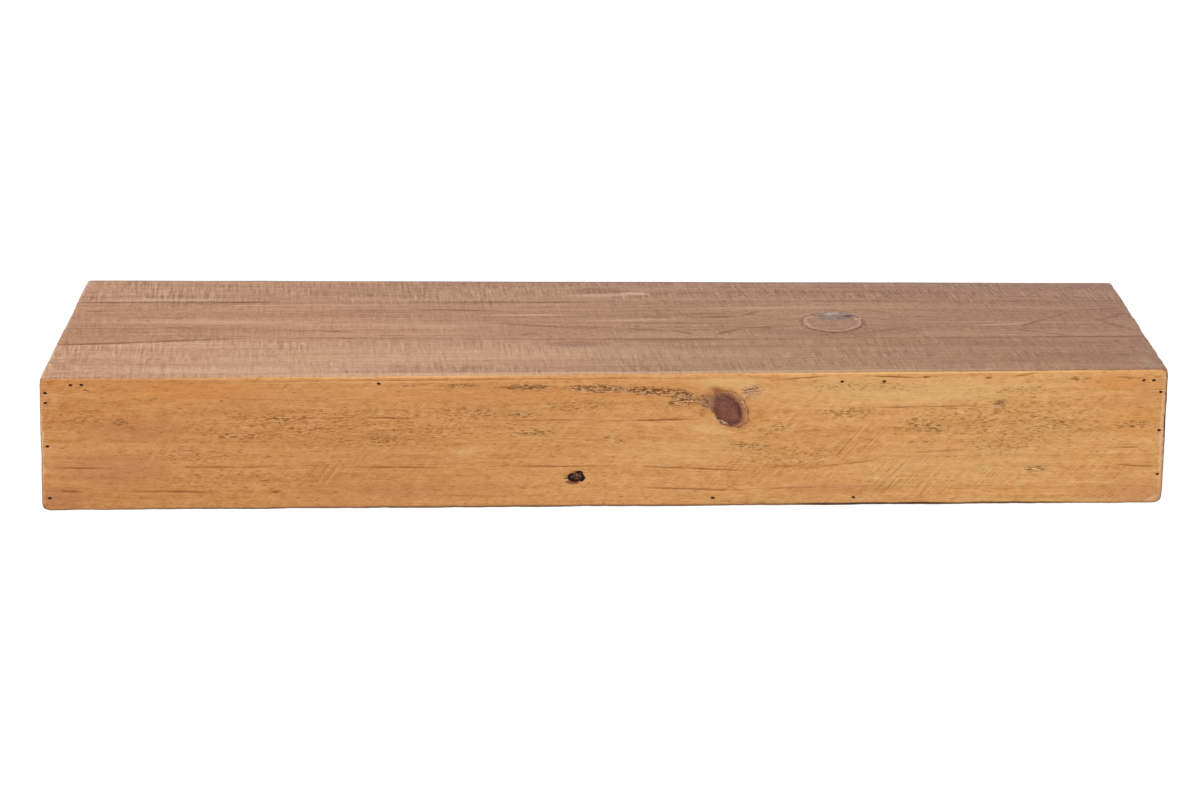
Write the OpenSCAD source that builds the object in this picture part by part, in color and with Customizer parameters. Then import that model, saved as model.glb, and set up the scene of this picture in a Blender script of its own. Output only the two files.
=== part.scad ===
// Floating shelf: a hollow, mitred box of reclaimed pine boards that slides over a
// hidden steel wall bracket with four rods.
// Millimetres. X runs along the shelf, Y = 0 is the wall and -Y faces the room, +Z is up.
// The origin is the middle of the back face of the bracket's plate.

/* [Box] */
// Length of the shelf, end to end
shelf_l = 914; // [890:1:1200]
// Depth of the shelf, from the wall to the front
shelf_d = 305; // [285:1:380]
// Height of the shelf
shelf_h = 114; // [108:1:150]
// Thickness of every outer board
board_t = 19; // [16:0.5:22]
// Radius of the eased outer edges
edge_r = 3; // [1:0.5:5]

/* [Planks] */
// Width of the front plank of the top and of the bottom
front_plank_w = 110; // [90:1:125]
// Width of the rear plank of the top and of the bottom
rear_plank_w = 73; // [60:1:90]

/* [Rails and blocks] */
// Thickness of the two inner rails
rail_t = 22; // [16:1:30]
// Distance from the wall to the middle rail
middle_rail_y = 150; // [110:1:170]
// Width of the glue blocks
block_w = 18; // [12:1:22]
// Chamfer on the free corner of a glue block
block_chamfer = 8; // [2:1:11]

/* [Dowels] */
// Diameter of a dowel
dowel_d = 8; // [6:0.5:9]
// Chamfer at both ends of a dowel
dowel_chamfer = 1; // [0.5:0.25:1.5]
// Length of a dowel between two planks
plank_dowel_l = 36; // [24:2:44]
// Number of dowels in each plank joint
plank_dowel_count = 5; // [3:1:8]
// Distance from the end of the shelf to the first plank dowel
plank_dowel_margin = 62; // [40:1:90]
// Length of a dowel between a rail and an end board
rail_dowel_l = 32; // [24:1:40]
// Depth of a rail dowel in the end board
rail_dowel_depth = 12; // [8:0.5:13]
// Distance between the two dowels at each end of a rail
rail_dowel_pitch = 40; // [20:1:44]

/* [Nails] */
// Diameter of a nail's shank
nail_d = 1.8; // [1.4:0.1:2.4]
// Diameter of a nail's head
nail_head_d = 2.8; // [2.6:0.1:3.6]
// Thickness of a nail's head
nail_head_t = 1.2; // [0.8:0.1:2]
// Length of a nail
nail_l = 32; // [25:1:40]
// Length of a nail's point
nail_point_l = 3; // [1.5:0.5:4]
// Depth of a nail's head below the face
nail_sink = 1.5; // [0.5:0.1:3]
// Distance from the top or bottom edge to its nails
long_edge_nail_inset = 8; // [6.5:0.5:9]
// Distance from the end of the shelf to its nails
end_nail_inset = 5.5; // [4.5:0.5:7]

/* [Wood flaws] */
// Width of the pitch pocket in the front board
pocket_w = 13; // [6:0.5:20]
// Depth of the pitch pocket
pocket_depth = 3; // [1:0.5:5]
// Width of the hollow in the knot of the top
knot_hollow_w = 26; // [10:1:40]
// Depth of the hollow in the knot of the top
knot_hollow_depth = 1.6; // [0.6:0.2:4]

/* [Wall bracket] */
// Distance between the wall plate and each end board
plate_end_gap = 13; // [8:1:20]
// Distance between the wall plate and the top or the bottom
plate_edge_gap = 8; // [4:0.5:12]
// Thickness of the wall plate
plate_t = 6; // [4:0.5:10]
// Radius of the plate's corners
plate_corner_r = 4; // [1:0.5:8]
// Distance from the end of the plate to its outer screws, for screws half of a 16 inch
// stud pitch apart
screw_end_margin = 18.6; // [12:0.1:30]
// Distance from the long edge of the plate to its screws
screw_edge_margin = 10; // [7:0.5:12]
// Number of wall screws in a row
screw_count = 5; // [3:2:5]
// Diameter of a wall screw hole
screw_hole_d = 5.5; // [4:0.1:6.5]
// Diameter of the countersink round a wall screw hole
countersink_d = 10.5; // [9:0.1:12]
// Diameter of a rod
rod_d = 16; // [12:0.5:18]
// Distance between a rod's tip and the front board
rod_front_gap = 50; // [30:1:80]
// Drop of the rods below the middle of the plate
rod_drop = 12; // [4:0.5:14]
// Chamfer on the tip of a rod
rod_chamfer = 2; // [0.5:0.5:4]
// Leg of the weld round a rod
weld_leg = 4; // [2.5:0.5:5]

/* [Lock screws] */
// Distance from the wall to the lock screws
lock_y = 48; // [42:1:60]
// Diameter of a lock screw
lock_screw_d = 8; // [6:0.5:10]
// Chamfer on the tip of a lock screw
lock_screw_chamfer = 1; // [0.5:0.25:2]
// Depth of a lock screw's lower end below the bottom face
lock_screw_recess = 2; // [0.5:0.5:6]
// Width of the lock screw's hexagon socket across its corners
socket_w = 4.6; // [3:0.1:5.4]
// Depth of the hexagon socket
socket_depth = 5; // [3:0.5:8]
// Diameter of a threaded insert
insert_d = 13; // [12:0.5:16]
// Depth of an insert's lower end below the bottom face
insert_recess = 1; // [0.5:0.5:3]

/* [Clearances] */
// Gap between the wall plate and the rear rail
plate_gap = 1; // [0.5:0.1:2]
// Gap round a rod in its holes, and round its weld
rod_gap = 0.6; // [0.3:0.1:1]
// Gap round a nail and past its point
nail_gap = 0.05; // [0.03:0.01:0.15]
// Gap round a dowel and past its ends
dowel_gap = 0.1; // [0.05:0.05:0.3]
// Gap between a lock screw's tip and its rod
lock_gap = 0.3; // [0.2:0.1:0.6]
// Gap round a threaded insert, and round the screw in it
insert_gap = 0.05; // [0.03:0.01:0.15]

/* [Hidden] */

// How far a cutter runs past the face that it opens
overrun = 1;
// Straight steps in each quarter round of an outline
corner_steps = 5;
$fn = 48;

// Outer and inner faces of the box
end_x = shelf_l / 2;
top_z = shelf_h / 2;
front_y = -shelf_d;
inner_x = end_x - board_t;
inner_z = top_z - board_t;
inner_front_y = front_y + board_t;
// Joints between the planks
front_joint_y = front_y + front_plank_w;
rear_joint_y = -rear_plank_w;
// Middle of the thickness of the top
top_middle_z = top_z - board_t / 2;
// Back faces of the two rails
rear_rail_y = -plate_t - plate_gap;
middle_rail_back_y = -middle_rail_y;

// Half the length and half the height of the wall plate
plate_x = inner_x - plate_end_gap;
plate_z = inner_z - plate_edge_gap;
// Outermost wall screws
screw_x = plate_x - screw_end_margin;
screw_z = plate_z - screw_edge_margin;
// Four rods share the length between the outermost screws, each in the middle of its part
rod_count = 4;
rod_places = [for (i = [0 : rod_count - 1]) screw_x * ((2 * i + 1) / rod_count - 1)];
rod_r = rod_d / 2;
rod_z = -rod_drop;
rod_l = shelf_d - board_t - plate_t - rod_front_gap;

// Nails along the top and bottom edges of the front, as shares of the length
top_nail_shares = [-0.4712, -0.4615, -0.199, 0.2109, 0.2483, 0.4786, 0.4874];
bottom_nail_shares = [0.0972, 0.2228];
// Nails at the two ends of the front, as shares of the height above the middle
left_nail_shares = [0.372, 0.299, -0.023, -0.409];
right_nail_shares = [0.343, 0.06, -0.267];
// Place of the pitch pocket on the front, as shares of the length and of the height
pocket_shares = [-0.0242, -0.271];
// Place of the top knot, as shares of the length and of the middle plank's width
knot_shares = [0.2166, 0.639];

golden_pine = "#cf9555";
grey_pine = "#b28568";
plain_pine = "#d8b483";
beech = "#dcc095";
iron = "#3b3531";
zinc = "#b9bbbd";
brass = "#b8954a";
powder_black = "#26272a";

// Section of a glue block whose right-angled corner is at the origin
block_outline = [
    [0, 0], [block_w, 0], [block_w, block_w - block_chamfer],
    [block_w - block_chamfer, block_w], [0, block_w]
];

// Quarter round of an outline: its centre, its radius and the angle at which it starts
function quarter_round(centre, r, start) = [
    for (i = [0 : corner_steps])
        centre + r * [cos(start + i * 90 / corner_steps), sin(start + i * 90 / corner_steps)]
];

// Rectangle about the origin with four rounded corners
function rounded_rectangle(half_w, half_h, r) = concat(
    quarter_round([half_w - r, half_h - r], r, 0),
    quarter_round([r - half_w, half_h - r], r, 90),
    quarter_round([r - half_w, r - half_h], r, 180),
    quarter_round([half_w - r, r - half_h], r, 270)
);

// Radius of the ball that cuts a hollow of this width and depth
function hollow_r(width, depth) = (width * width / 4 + depth * depth) / (2 * depth);

// A solid from y0 to y1 whose section in XZ is the given outline
module across_depth(y0, y1, outline) {
    translate([0, y1, 0])
        rotate([90, 0, 0])
            linear_extrude(y1 - y0)
                polygon(outline);
}

// A solid of the given length along X whose section in YZ is the given outline
module along_length(length, outline) {
    rotate([90, 0, 90])
        linear_extrude(length, center = true)
            polygon(outline);
}

// A solid over the shelf's height whose section in XY is the given outline
module up_height(outline) {
    linear_extrude(shelf_h, center = true)
        polygon(outline);
}

// Children at a place, with +Z turned towards the front
module towards_front(place) {
    translate(place)
        rotate([90, 0, 0])
            children();
}

// A round pin along Z with a chamfer at its far end, and at its near end if asked
module pin(d, length, chamfer, near_chamfer = 0) {
    rotate_extrude()
        polygon([
            [0, 0],
            [d / 2 - near_chamfer, 0],
            [d / 2, near_chamfer],
            [d / 2, length - chamfer],
            [d / 2 - chamfer, length],
            [0, length]
        ]);
}

// The whole box without its hollow; its edges at the wall stay sharp
module outer_shape() {
    side_outline = concat(
        quarter_round([front_y + edge_r, top_z - edge_r], edge_r, 90),
        quarter_round([front_y + edge_r, edge_r - top_z], edge_r, 180),
        [[0, -top_z], [0, top_z]]
    );
    plan_outline = concat(
        quarter_round([edge_r - end_x, front_y + edge_r], edge_r, 180),
        quarter_round([end_x - edge_r, front_y + edge_r], edge_r, 270),
        [[end_x, 0], [-end_x, 0]]
    );
    intersection() {
        along_length(shelf_l, side_outline);
        across_depth(front_y, 0, rounded_rectangle(end_x, top_z, edge_r));
        up_height(plan_outline);
    }
}

// A plank of the top (level 0) or of the bottom (level 1), mitred at the ends and in front
module plank(level, y0, y1) {
    intersection() {
        outer_shape();
        mirror([0, 0, level])
            across_depth(y0, y1, [
                [-end_x, top_z], [-inner_x, inner_z], [inner_x, inner_z], [end_x, top_z]
            ]);
        mirror([0, 0, level])
            along_length(shelf_l, [
                [front_y, top_z], [inner_front_y, inner_z], [0, inner_z], [0, top_z]
            ]);
    }
}

// Dowels, or with a gap their holes, across the joint between two planks
module plank_dowels(level, joint_y, gap = 0) {
    reach = end_x - plank_dowel_margin;
    for (i = [0 : plank_dowel_count - 1])
        mirror([0, 0, level])
            towards_front([
                reach * (2 * i / (plank_dowel_count - 1) - 1),
                joint_y + plank_dowel_l / 2 + gap,
                top_middle_z
            ])
                pin(dowel_d + 2 * gap, plank_dowel_l + 2 * gap, dowel_chamfer, dowel_chamfer);
}

// Dowels, or with a gap their holes, between the rails and the end boards
module rail_dowel_set(gap = 0) {
    for (side = [0, 1], back_y = [rear_rail_y, middle_rail_back_y], level = [-1, 1])
        mirror([side, 0, 0])
            translate([
                inner_x + rail_dowel_depth - rail_dowel_l - gap,
                back_y - rail_t / 2,
                level * rail_dowel_pitch / 2
            ])
                rotate([0, 90, 0])
                    pin(dowel_d + 2 * gap, rail_dowel_l + 2 * gap, dowel_chamfer, dowel_chamfer);
}

// Children at each nail's place on the front, with +Z into the wood
module at_nails() {
    for (share = top_nail_shares)
        translate([share * shelf_l, front_y, top_z - long_edge_nail_inset])
            rotate([-90, 0, 0])
                children();
    for (share = bottom_nail_shares)
        translate([share * shelf_l, front_y, long_edge_nail_inset - top_z])
            rotate([-90, 0, 0])
                children();
    for (share = left_nail_shares)
        translate([end_nail_inset - end_x, front_y, share * shelf_h])
            rotate([-90, 0, 0])
                children();
    for (share = right_nail_shares)
        translate([end_x - end_nail_inset, front_y, share * shelf_h])
            rotate([-90, 0, 0])
                children();
}

// The holes that the nails have made, open at the front
module nail_holes() {
    at_nails() {
        translate([0, 0, -overrun])
            cylinder(h = overrun + nail_sink + nail_head_t + nail_gap, d = nail_head_d + 2 * nail_gap);
        translate([0, 0, nail_sink])
            cylinder(h = nail_l + nail_gap, d = nail_d + 2 * nail_gap);
    }
}

// Children at the lock screw under an outer rod, on the left for side -1
module at_lock(side) {
    translate([side * rod_places[rod_count - 1], -lock_y, -top_z])
        children();
}

module front_board() {
    pocket_r = hollow_r(pocket_w, pocket_depth);
    color(golden_pine)
        difference() {
            intersection() {
                outer_shape();
                along_length(shelf_l, [
                    [front_y, top_z], [front_y, -top_z],
                    [inner_front_y, -inner_z], [inner_front_y, inner_z]
                ]);
                up_height([
                    [-end_x, front_y], [end_x, front_y],
                    [inner_x, inner_front_y], [-inner_x, inner_front_y]
                ]);
            }
            nail_holes();
            translate([
                pocket_shares[0] * shelf_l,
                front_y + pocket_depth - pocket_r,
                pocket_shares[1] * shelf_h
            ])
                sphere(pocket_r);
        }
}

module top_front_plank() {
    color(grey_pine)
        difference() {
            plank(0, front_y, front_joint_y);
            plank_dowels(0, front_joint_y, dowel_gap);
            nail_holes();
        }
}

module top_middle_plank() {
    middle_plank_w = rear_joint_y - front_joint_y;
    knot_r = hollow_r(knot_hollow_w, knot_hollow_depth);
    color(grey_pine)
        difference() {
            plank(0, front_joint_y, rear_joint_y);
            plank_dowels(0, front_joint_y, dowel_gap);
            plank_dowels(0, rear_joint_y, dowel_gap);
            translate([
                knot_shares[0] * shelf_l,
                front_joint_y + knot_shares[1] * middle_plank_w,
                top_z - knot_hollow_depth + knot_r
            ])
                sphere(knot_r);
        }
}

module top_rear_plank() {
    color(grey_pine)
        difference() {
            plank(0, rear_joint_y, 0);
            plank_dowels(0, rear_joint_y, dowel_gap);
        }
}

module bottom_front_plank() {
    color(grey_pine)
        difference() {
            plank(1, front_y, front_joint_y);
            plank_dowels(1, front_joint_y, dowel_gap);
            nail_holes();
        }
}

module bottom_middle_plank() {
    color(grey_pine)
        difference() {
            plank(1, front_joint_y, rear_joint_y);
            plank_dowels(1, front_joint_y, dowel_gap);
            plank_dowels(1, rear_joint_y, dowel_gap);
        }
}

module bottom_rear_plank() {
    color(grey_pine)
        difference() {
            plank(1, rear_joint_y, 0);
            plank_dowels(1, rear_joint_y, dowel_gap);
            for (side = [-1, 1])
                at_lock(side)
                    translate([0, 0, -overrun])
                        cylinder(h = board_t + 2 * overrun, d = insert_d + 2 * insert_gap);
        }
}

// End board on the right, or with side 1 its mirror image on the left
module end_board(side) {
    color(golden_pine)
        difference() {
            intersection() {
                outer_shape();
                mirror([side, 0, 0])
                    across_depth(front_y, 0, [
                        [end_x, top_z], [inner_x, inner_z], [inner_x, -inner_z], [end_x, -top_z]
                    ]);
                mirror([side, 0, 0])
                    up_height([
                        [end_x, 0], [inner_x, 0], [inner_x, inner_front_y], [end_x, front_y]
                    ]);
            }
            nail_holes();
            rail_dowel_set(dowel_gap);
        }
}

module left_end_board() {
    end_board(1);
}

module right_end_board() {
    end_board(0);
}

// A rail across the inside of the box, bored for the rods and for its dowels
module rail(back_y) {
    difference() {
        across_depth(back_y - rail_t, back_y, [
            [-inner_x, -inner_z], [inner_x, -inner_z], [inner_x, inner_z], [-inner_x, inner_z]
        ]);
        for (x = rod_places)
            towards_front([x, back_y + overrun, rod_z])
                cylinder(h = rail_t + 2 * overrun, r = rod_r + rod_gap);
        rail_dowel_set(dowel_gap);
    }
}

module rear_rail() {
    relief_depth = weld_leg - plate_gap;
    relief_r = rod_r + rod_gap;
    color(plain_pine)
        difference() {
            rail(rear_rail_y);
            for (x = rod_places)
                towards_front([x, rear_rail_y + overrun, rod_z])
                    cylinder(
                        h = relief_depth + overrun,
                        r1 = relief_r + relief_depth + overrun,
                        r2 = relief_r
                    );
        }
}

module middle_rail() {
    color(plain_pine)
        rail(middle_rail_back_y);
}

// A block in the corner behind the front board, above (level 0) or below (level 1)
module front_block(level) {
    color(plain_pine)
        mirror([0, 0, level])
            translate([0, inner_front_y, inner_z])
                mirror([0, 0, 1])
                    along_length(2 * inner_x, block_outline);
}

// A block between the rails, in the corner at the right end or with side 1 at the left
module end_block(side, level) {
    color(plain_pine)
        mirror([side, 0, 0])
            mirror([0, 0, level])
                translate([inner_x, 0, inner_z])
                    rotate([0, 180, 0])
                        across_depth(middle_rail_back_y, rear_rail_y - rail_t, block_outline);
}

module front_top_block() {
    front_block(0);
}

module front_bottom_block() {
    front_block(1);
}

module left_top_block() {
    end_block(1, 0);
}

module left_bottom_block() {
    end_block(1, 1);
}

module right_top_block() {
    end_block(0, 0);
}

module right_bottom_block() {
    end_block(0, 1);
}

module top_front_dowels() {
    color(beech)
        plank_dowels(0, front_joint_y);
}

module top_rear_dowels() {
    color(beech)
        plank_dowels(0, rear_joint_y);
}

module bottom_front_dowels() {
    color(beech)
        plank_dowels(1, front_joint_y);
}

module bottom_rear_dowels() {
    color(beech)
        plank_dowels(1, rear_joint_y);
}

module rail_dowels() {
    color(beech)
        rail_dowel_set();
}

module front_nails() {
    color(iron)
        at_nails()
            translate([0, 0, nail_sink])
                rotate_extrude()
                    polygon([
                        [0, 0],
                        [nail_head_d / 2, 0],
                        [nail_head_d / 2, nail_head_t],
                        [nail_d / 2, nail_head_t],
                        [nail_d / 2, nail_l - nail_point_l],
                        [0, nail_l]
                    ]);
}

// Threaded insert in the bottom, flush with its inner face
module lock_insert(side) {
    insert_l = board_t - insert_recess;
    color(brass)
        at_lock(side)
            translate([0, 0, insert_recess])
                difference() {
                    cylinder(h = insert_l, d = insert_d);
                    translate([0, 0, -overrun])
                        cylinder(h = insert_l + 2 * overrun, d = lock_screw_d + 2 * insert_gap);
                }
}

// Lock screw that reaches up to the underside of its rod
module lock_screw(side) {
    lock_screw_l = top_z + rod_z - rod_r - lock_gap - lock_screw_recess;
    color(zinc)
        at_lock(side)
            translate([0, 0, lock_screw_recess])
                difference() {
                    pin(lock_screw_d, lock_screw_l, lock_screw_chamfer);
                    translate([0, 0, -overrun])
                        cylinder(h = socket_depth + overrun, d = socket_w, $fn = 6);
                }
}

module left_lock_insert() {
    lock_insert(-1);
}

module right_lock_insert() {
    lock_insert(1);
}

module left_lock_screw() {
    lock_screw(-1);
}

module right_lock_screw() {
    lock_screw(1);
}

module wall_plate() {
    countersink_depth = (countersink_d - screw_hole_d) / 2;
    color(powder_black)
        difference() {
            across_depth(-plate_t, 0, rounded_rectangle(plate_x, plate_z, plate_corner_r));
            for (i = [0 : screw_count - 1], row = [-1, 1])
                towards_front([screw_x * (2 * i / (screw_count - 1) - 1), 0, row * screw_z]) {
                    translate([0, 0, -overrun])
                        cylinder(h = plate_t + 2 * overrun, d = screw_hole_d);
                    translate([0, 0, plate_t - countersink_depth])
                        cylinder(
                            h = countersink_depth + overrun,
                            d1 = screw_hole_d,
                            d2 = countersink_d + 2 * overrun
                        );
                }
        }
}

// Rod number i, counted from the left
module rod(i) {
    color(powder_black)
        towards_front([rod_places[i], -plate_t, rod_z])
            pin(rod_d, rod_l, rod_chamfer);
}

module left_outer_rod() {
    rod(0);
}

module left_inner_rod() {
    rod(1);
}

module right_inner_rod() {
    rod(2);
}

module right_outer_rod() {
    rod(3);
}

module rod_welds() {
    color(powder_black)
        for (x = rod_places)
            towards_front([x, -plate_t, rod_z])
                rotate_extrude()
                    polygon([[rod_r, 0], [rod_r + weld_leg, 0], [rod_r, weld_leg]]);
}

front_board();
top_front_plank();
top_middle_plank();
top_rear_plank();
bottom_front_plank();
bottom_middle_plank();
bottom_rear_plank();
left_end_board();
right_end_board();
rear_rail();
middle_rail();
front_top_block();
front_bottom_block();
left_top_block();
left_bottom_block();
right_top_block();
right_bottom_block();
top_front_dowels();
top_rear_dowels();
bottom_front_dowels();
bottom_rear_dowels();
rail_dowels();
front_nails();
left_lock_insert();
right_lock_insert();
left_lock_screw();
right_lock_screw();
wall_plate();
left_outer_rod();
left_inner_rod();
right_inner_rod();
right_outer_rod();
rod_welds();
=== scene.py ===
# Floating shelf: a rustic pine box that slides over a hidden steel wall bracket
import math

import bpy
from mathutils import Matrix, Vector


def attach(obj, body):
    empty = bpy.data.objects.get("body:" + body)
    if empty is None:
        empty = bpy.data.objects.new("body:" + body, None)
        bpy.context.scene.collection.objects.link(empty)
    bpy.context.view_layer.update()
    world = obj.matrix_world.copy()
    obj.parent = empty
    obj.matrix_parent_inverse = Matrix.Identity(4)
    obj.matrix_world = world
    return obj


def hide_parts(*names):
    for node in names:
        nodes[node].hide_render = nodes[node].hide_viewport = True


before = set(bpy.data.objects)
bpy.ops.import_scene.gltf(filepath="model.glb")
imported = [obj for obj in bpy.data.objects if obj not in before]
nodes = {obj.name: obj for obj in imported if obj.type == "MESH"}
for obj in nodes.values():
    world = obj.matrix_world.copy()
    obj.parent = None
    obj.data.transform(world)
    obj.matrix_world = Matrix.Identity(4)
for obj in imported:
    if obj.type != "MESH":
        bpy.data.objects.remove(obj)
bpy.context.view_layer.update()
print("frame loaded:", len(nodes), "CAD nodes")

metre = 1000.0  # in millimetres
white = (1, 1, 1, 1)
axes = ((1, 0, 0), (0, 1, 0), (0, 0, 1))
middle = (0.5, 0.5, 0.5)  # the middle of a coloured noise


# Short ways to add nodes, which work in a material and in geometry nodes alike
class Nodes:
    def __init__(self, tree):
        self.tree = tree

    def add(self, kind, inputs=(), **options):
        node = self.tree.nodes.new(kind)
        for name, value in options.items():
            setattr(node, name, value)
        for slot, value in dict(inputs).items():
            if isinstance(value, bpy.types.NodeSocket):
                self.tree.links.new(value, node.inputs[slot])
            else:
                node.inputs[slot].default_value = value
        return node

    def calc(self, operation, *values):
        return self.add("ShaderNodeMath", enumerate(values), operation=operation).outputs[0]

    def plus(self, first, *others):
        for other in others:
            first = self.calc("ADD", first, other)
        return first

    def times(self, first, *others):
        for other in others:
            first = self.calc("MULTIPLY", first, other)
        return first

    def most(self, first, *others):
        for other in others:
            first = self.calc("MAXIMUM", first, other)
        return first

    def vector(self, operation, *values):
        node = self.add("ShaderNodeVectorMath", enumerate(values), operation=operation)
        return node.outputs[1 if operation in ("LENGTH", "DOT_PRODUCT", "DISTANCE") else 0]

    def scaled(self, value, factor):
        return self.add("ShaderNodeVectorMath", {0: value, 3: factor}, operation="SCALE").outputs[0]

    def turned(self, value, angle):  # in the plane of a board's face, in degrees
        inputs = {"Vector": value, "Angle": math.radians(angle)}
        return self.add("ShaderNodeVectorRotate", inputs, rotation_type="Z_AXIS").outputs[0]

    def join(self, x, y, z):
        return self.add("ShaderNodeCombineXYZ", {0: x, 1: y, 2: z}).outputs[0]

    def fade(self, value, start, end, low=0.0, high=1.0):  # smooth from start to end
        inputs = {0: value, 1: start, 2: end, 3: low, 4: high}
        return self.add("ShaderNodeMapRange", inputs, interpolation_type="SMOOTHSTEP").outputs[0]

    def noise(self, place, size, detail=2.0, rough=0.5, colour=False):
        inputs = {"Vector": self.vector("DIVIDE", place, size), "Scale": 1.0}
        node = self.add("ShaderNodeTexNoise", {**inputs, "Detail": detail, "Roughness": rough})
        return node.outputs[1 if colour else 0]

    def swing(self, value, amount):  # noise from 0 to 1 made a swing about nought
        return self.calc("MULTIPLY_ADD", value, amount, -amount / 2)

    def mix(self, share, first, second, blend="MIX"):  # a tuple is a screen colour
        first, second = [paint(*value) if isinstance(value, tuple) else value for value in (first, second)]
        inputs = {0: share, 6: first, 7: second}
        return self.add("ShaderNodeMix", inputs, data_type="RGBA", blend_type=blend).outputs[2]

    def ramp(self, value, stops):  # a stop is its place, then a screen colour
        node = self.add("ShaderNodeValToRGB", {0: value})
        points = node.color_ramp.elements
        first, *others, last = [(place, paint(*colour)) for place, *colour in stops]
        points[0].position, points[0].color = first
        points[1].position, points[1].color = last
        for place, colour in others:
            points.new(place).color = colour
        return node.outputs[0], node.outputs[1]


def newMaterial(name):
    material = bpy.data.materials.new(name)
    material.use_nodes = True
    material.node_tree.nodes.clear()
    return material, Nodes(material.node_tree)


# The shader that ends a material, and the fine relief that it shows
def endMaterial(n, colour, roughness, height, bump, plain):
    relief = n.add("ShaderNodeBump", {"Strength": 1.0, "Distance": bump, "Height": height}).outputs[0]
    inputs = {"Base Color": colour, "Roughness": roughness, "Normal": relief, **plain}
    shader = n.add("ShaderNodeBsdfPrincipled", inputs).outputs[0]
    n.add("ShaderNodeOutputMaterial", {"Surface": shader})


def paint(red, green, blue, alpha=1.0):  # a screen colour as Blender wants it
    def linear(value):
        value /= 255
        return value / 12.92 if value <= 0.04045 else ((value + 0.055) / 1.055) ** 2.4

    return (linear(red), linear(green), linear(blue), alpha)


# The view, the lamps and the floor
studio = {
    "cameraPlace": (-0.03156, -3.06266, 0.82315),
    "cameraTurn": (74.044, 0.096, -0.618),  # degrees
    "lens": 106.3,
    "sensor": 36,
    "clipEnd": 100,
    "backdrop": 1,  # strength of the white that the camera and reflections see
    "ambient": 0.575,
    "lamps": [  # name, place, target, size, watts, colour
        ("keySoftbox", (-1.6, -2.7, 2.5), (0, -0.15, 0), 2.2, 64, (1.0, 0.985, 0.965)),
        ("fillSoftbox", (2.2, -2.4, 1.3), (0, -0.15, 0), 1.8, 17, (0.97, 0.985, 1.0)),
        ("backSoftbox", (0.3, 2.2, 2.2), (0, -0.15, 0), 2.0, 16, (1.0, 1.0, 1.0)),
    ],
    "floorLevel": -4,
    "floorHalf": 30,
    "floorColour": (0.9, 0.9, 0.9, 1),
    "floorGlow": 0.55,
}


def setUpStudio():
    scene = bpy.context.scene
    scene.view_settings.view_transform = "Standard"
    camera = bpy.data.objects.new("camera", bpy.data.cameras.new("camera"))
    scene.collection.objects.link(camera)
    camera.location = studio["cameraPlace"]
    camera.rotation_euler = [math.radians(angle) for angle in studio["cameraTurn"]]
    camera.data.lens = studio["lens"]
    camera.data.sensor_width = studio["sensor"]
    camera.data.clip_end = studio["clipEnd"]
    scene.camera = camera

    for name, place, target, size, watts, colour in studio["lamps"]:
        lamp = bpy.data.lights.new(name, "AREA")
        lamp.shape = "SQUARE"
        lamp.size = size
        lamp.energy = watts
        lamp.color = colour
        holder = bpy.data.objects.new(name, lamp)
        scene.collection.objects.link(holder)
        holder.location = place
        holder.rotation_euler = (Vector(target) - Vector(place)).to_track_quat("-Z", "Y").to_euler()

    # The camera and reflections see a white room, and the object is lit by a dimmer one
    world = bpy.data.worlds.new("paleRoom")
    scene.world = world
    world.use_nodes = True
    world.node_tree.nodes.clear()
    n = Nodes(world.node_tree)
    seen = n.add("ShaderNodeBackground", {"Color": white, "Strength": studio["backdrop"]})
    ambient = n.add("ShaderNodeBackground", {"Color": white, "Strength": studio["ambient"]})
    rays = n.add("ShaderNodeLightPath").outputs
    direct = n.most(rays["Is Camera Ray"], rays["Is Glossy Ray"], rays["Is Transmission Ray"])
    room = n.add("ShaderNodeMixShader", {0: direct, 1: ambient.outputs[0], 2: seen.outputs[0]})
    n.add("ShaderNodeOutputWorld", {"Surface": room.outputs[0]})

    bpy.ops.mesh.primitive_plane_add(size=2 * studio["floorHalf"], location=(0, 0, studio["floorLevel"]))
    floor = bpy.context.object
    floor.name = "floor"
    paper, n = newMaterial("palePaper")
    matt = n.add("ShaderNodeBsdfDiffuse", {"Color": studio["floorColour"]})
    level = n.times(n.add("ShaderNodeLightPath").outputs["Is Camera Ray"], studio["floorGlow"])
    glow = n.add("ShaderNodeEmission", {"Strength": level})
    both = n.add("ShaderNodeAddShader", {0: matt.outputs[0], 1: glow.outputs[0]})
    n.add("ShaderNodeOutputMaterial", {"Surface": both.outputs[0]})
    floor.data.materials.append(paper)


setUpStudio()
print("studio ready")


# Sizes that all boards share, in millimetres
box = {
    "halfLength": 457,
    "depth": 305,
    "halfHeight": 57,
    "thickness": 19,
    "edgeRadius": 3,
    "edgeSteps": (15, 30, 45),  # degrees round the eased edge
    "reliefFade": (1.0, 5.5),  # from a mitred edge, where the relief begins and where it is full
    "reliefFull": -0.6,  # how deep a board's edge shows the full relief, and the full warp
    "warpFull": -0.5,
    "twistTopFront": (-2.0, 1.8),  # how far an edge rises at its left and right end
    "twistTopBack": (3.15, -3.15),
    "twistBottomFront": (-0.9, 1.1),
    "swayTop": (0.9, 0.4),  # how far the top and the bottom lean to the right
    "swayBottom": (-1.6, -0.65),
    "wearReach": 7,  # how far from an edge the wear begins
    "wearPatch": (38, 38, 38),
    "wearShown": (0.35, 0.75),
    "edgeWear": (0.1, 0.9),  # least and most
    "cornerWear": 2.0,
    "frontJointWander": [(-462, -285, 17.0), (-275, 20, -7.5), (180, 457, 2.5)],  # from, to, by how much
    "frontJointShift": -12.5,
    "rearJointWander": [(-300, 450, 4.0), (-420, -250, 1.5)],
    "rearJointShift": -1.5,
    "joints": (-195, -73),  # front and rear joint, back from the wall
    "jointWobble": 3.2,
    "wobbleSize": (34, 200, 200),
    "smoothAngle": 38,  # degrees
}

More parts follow.
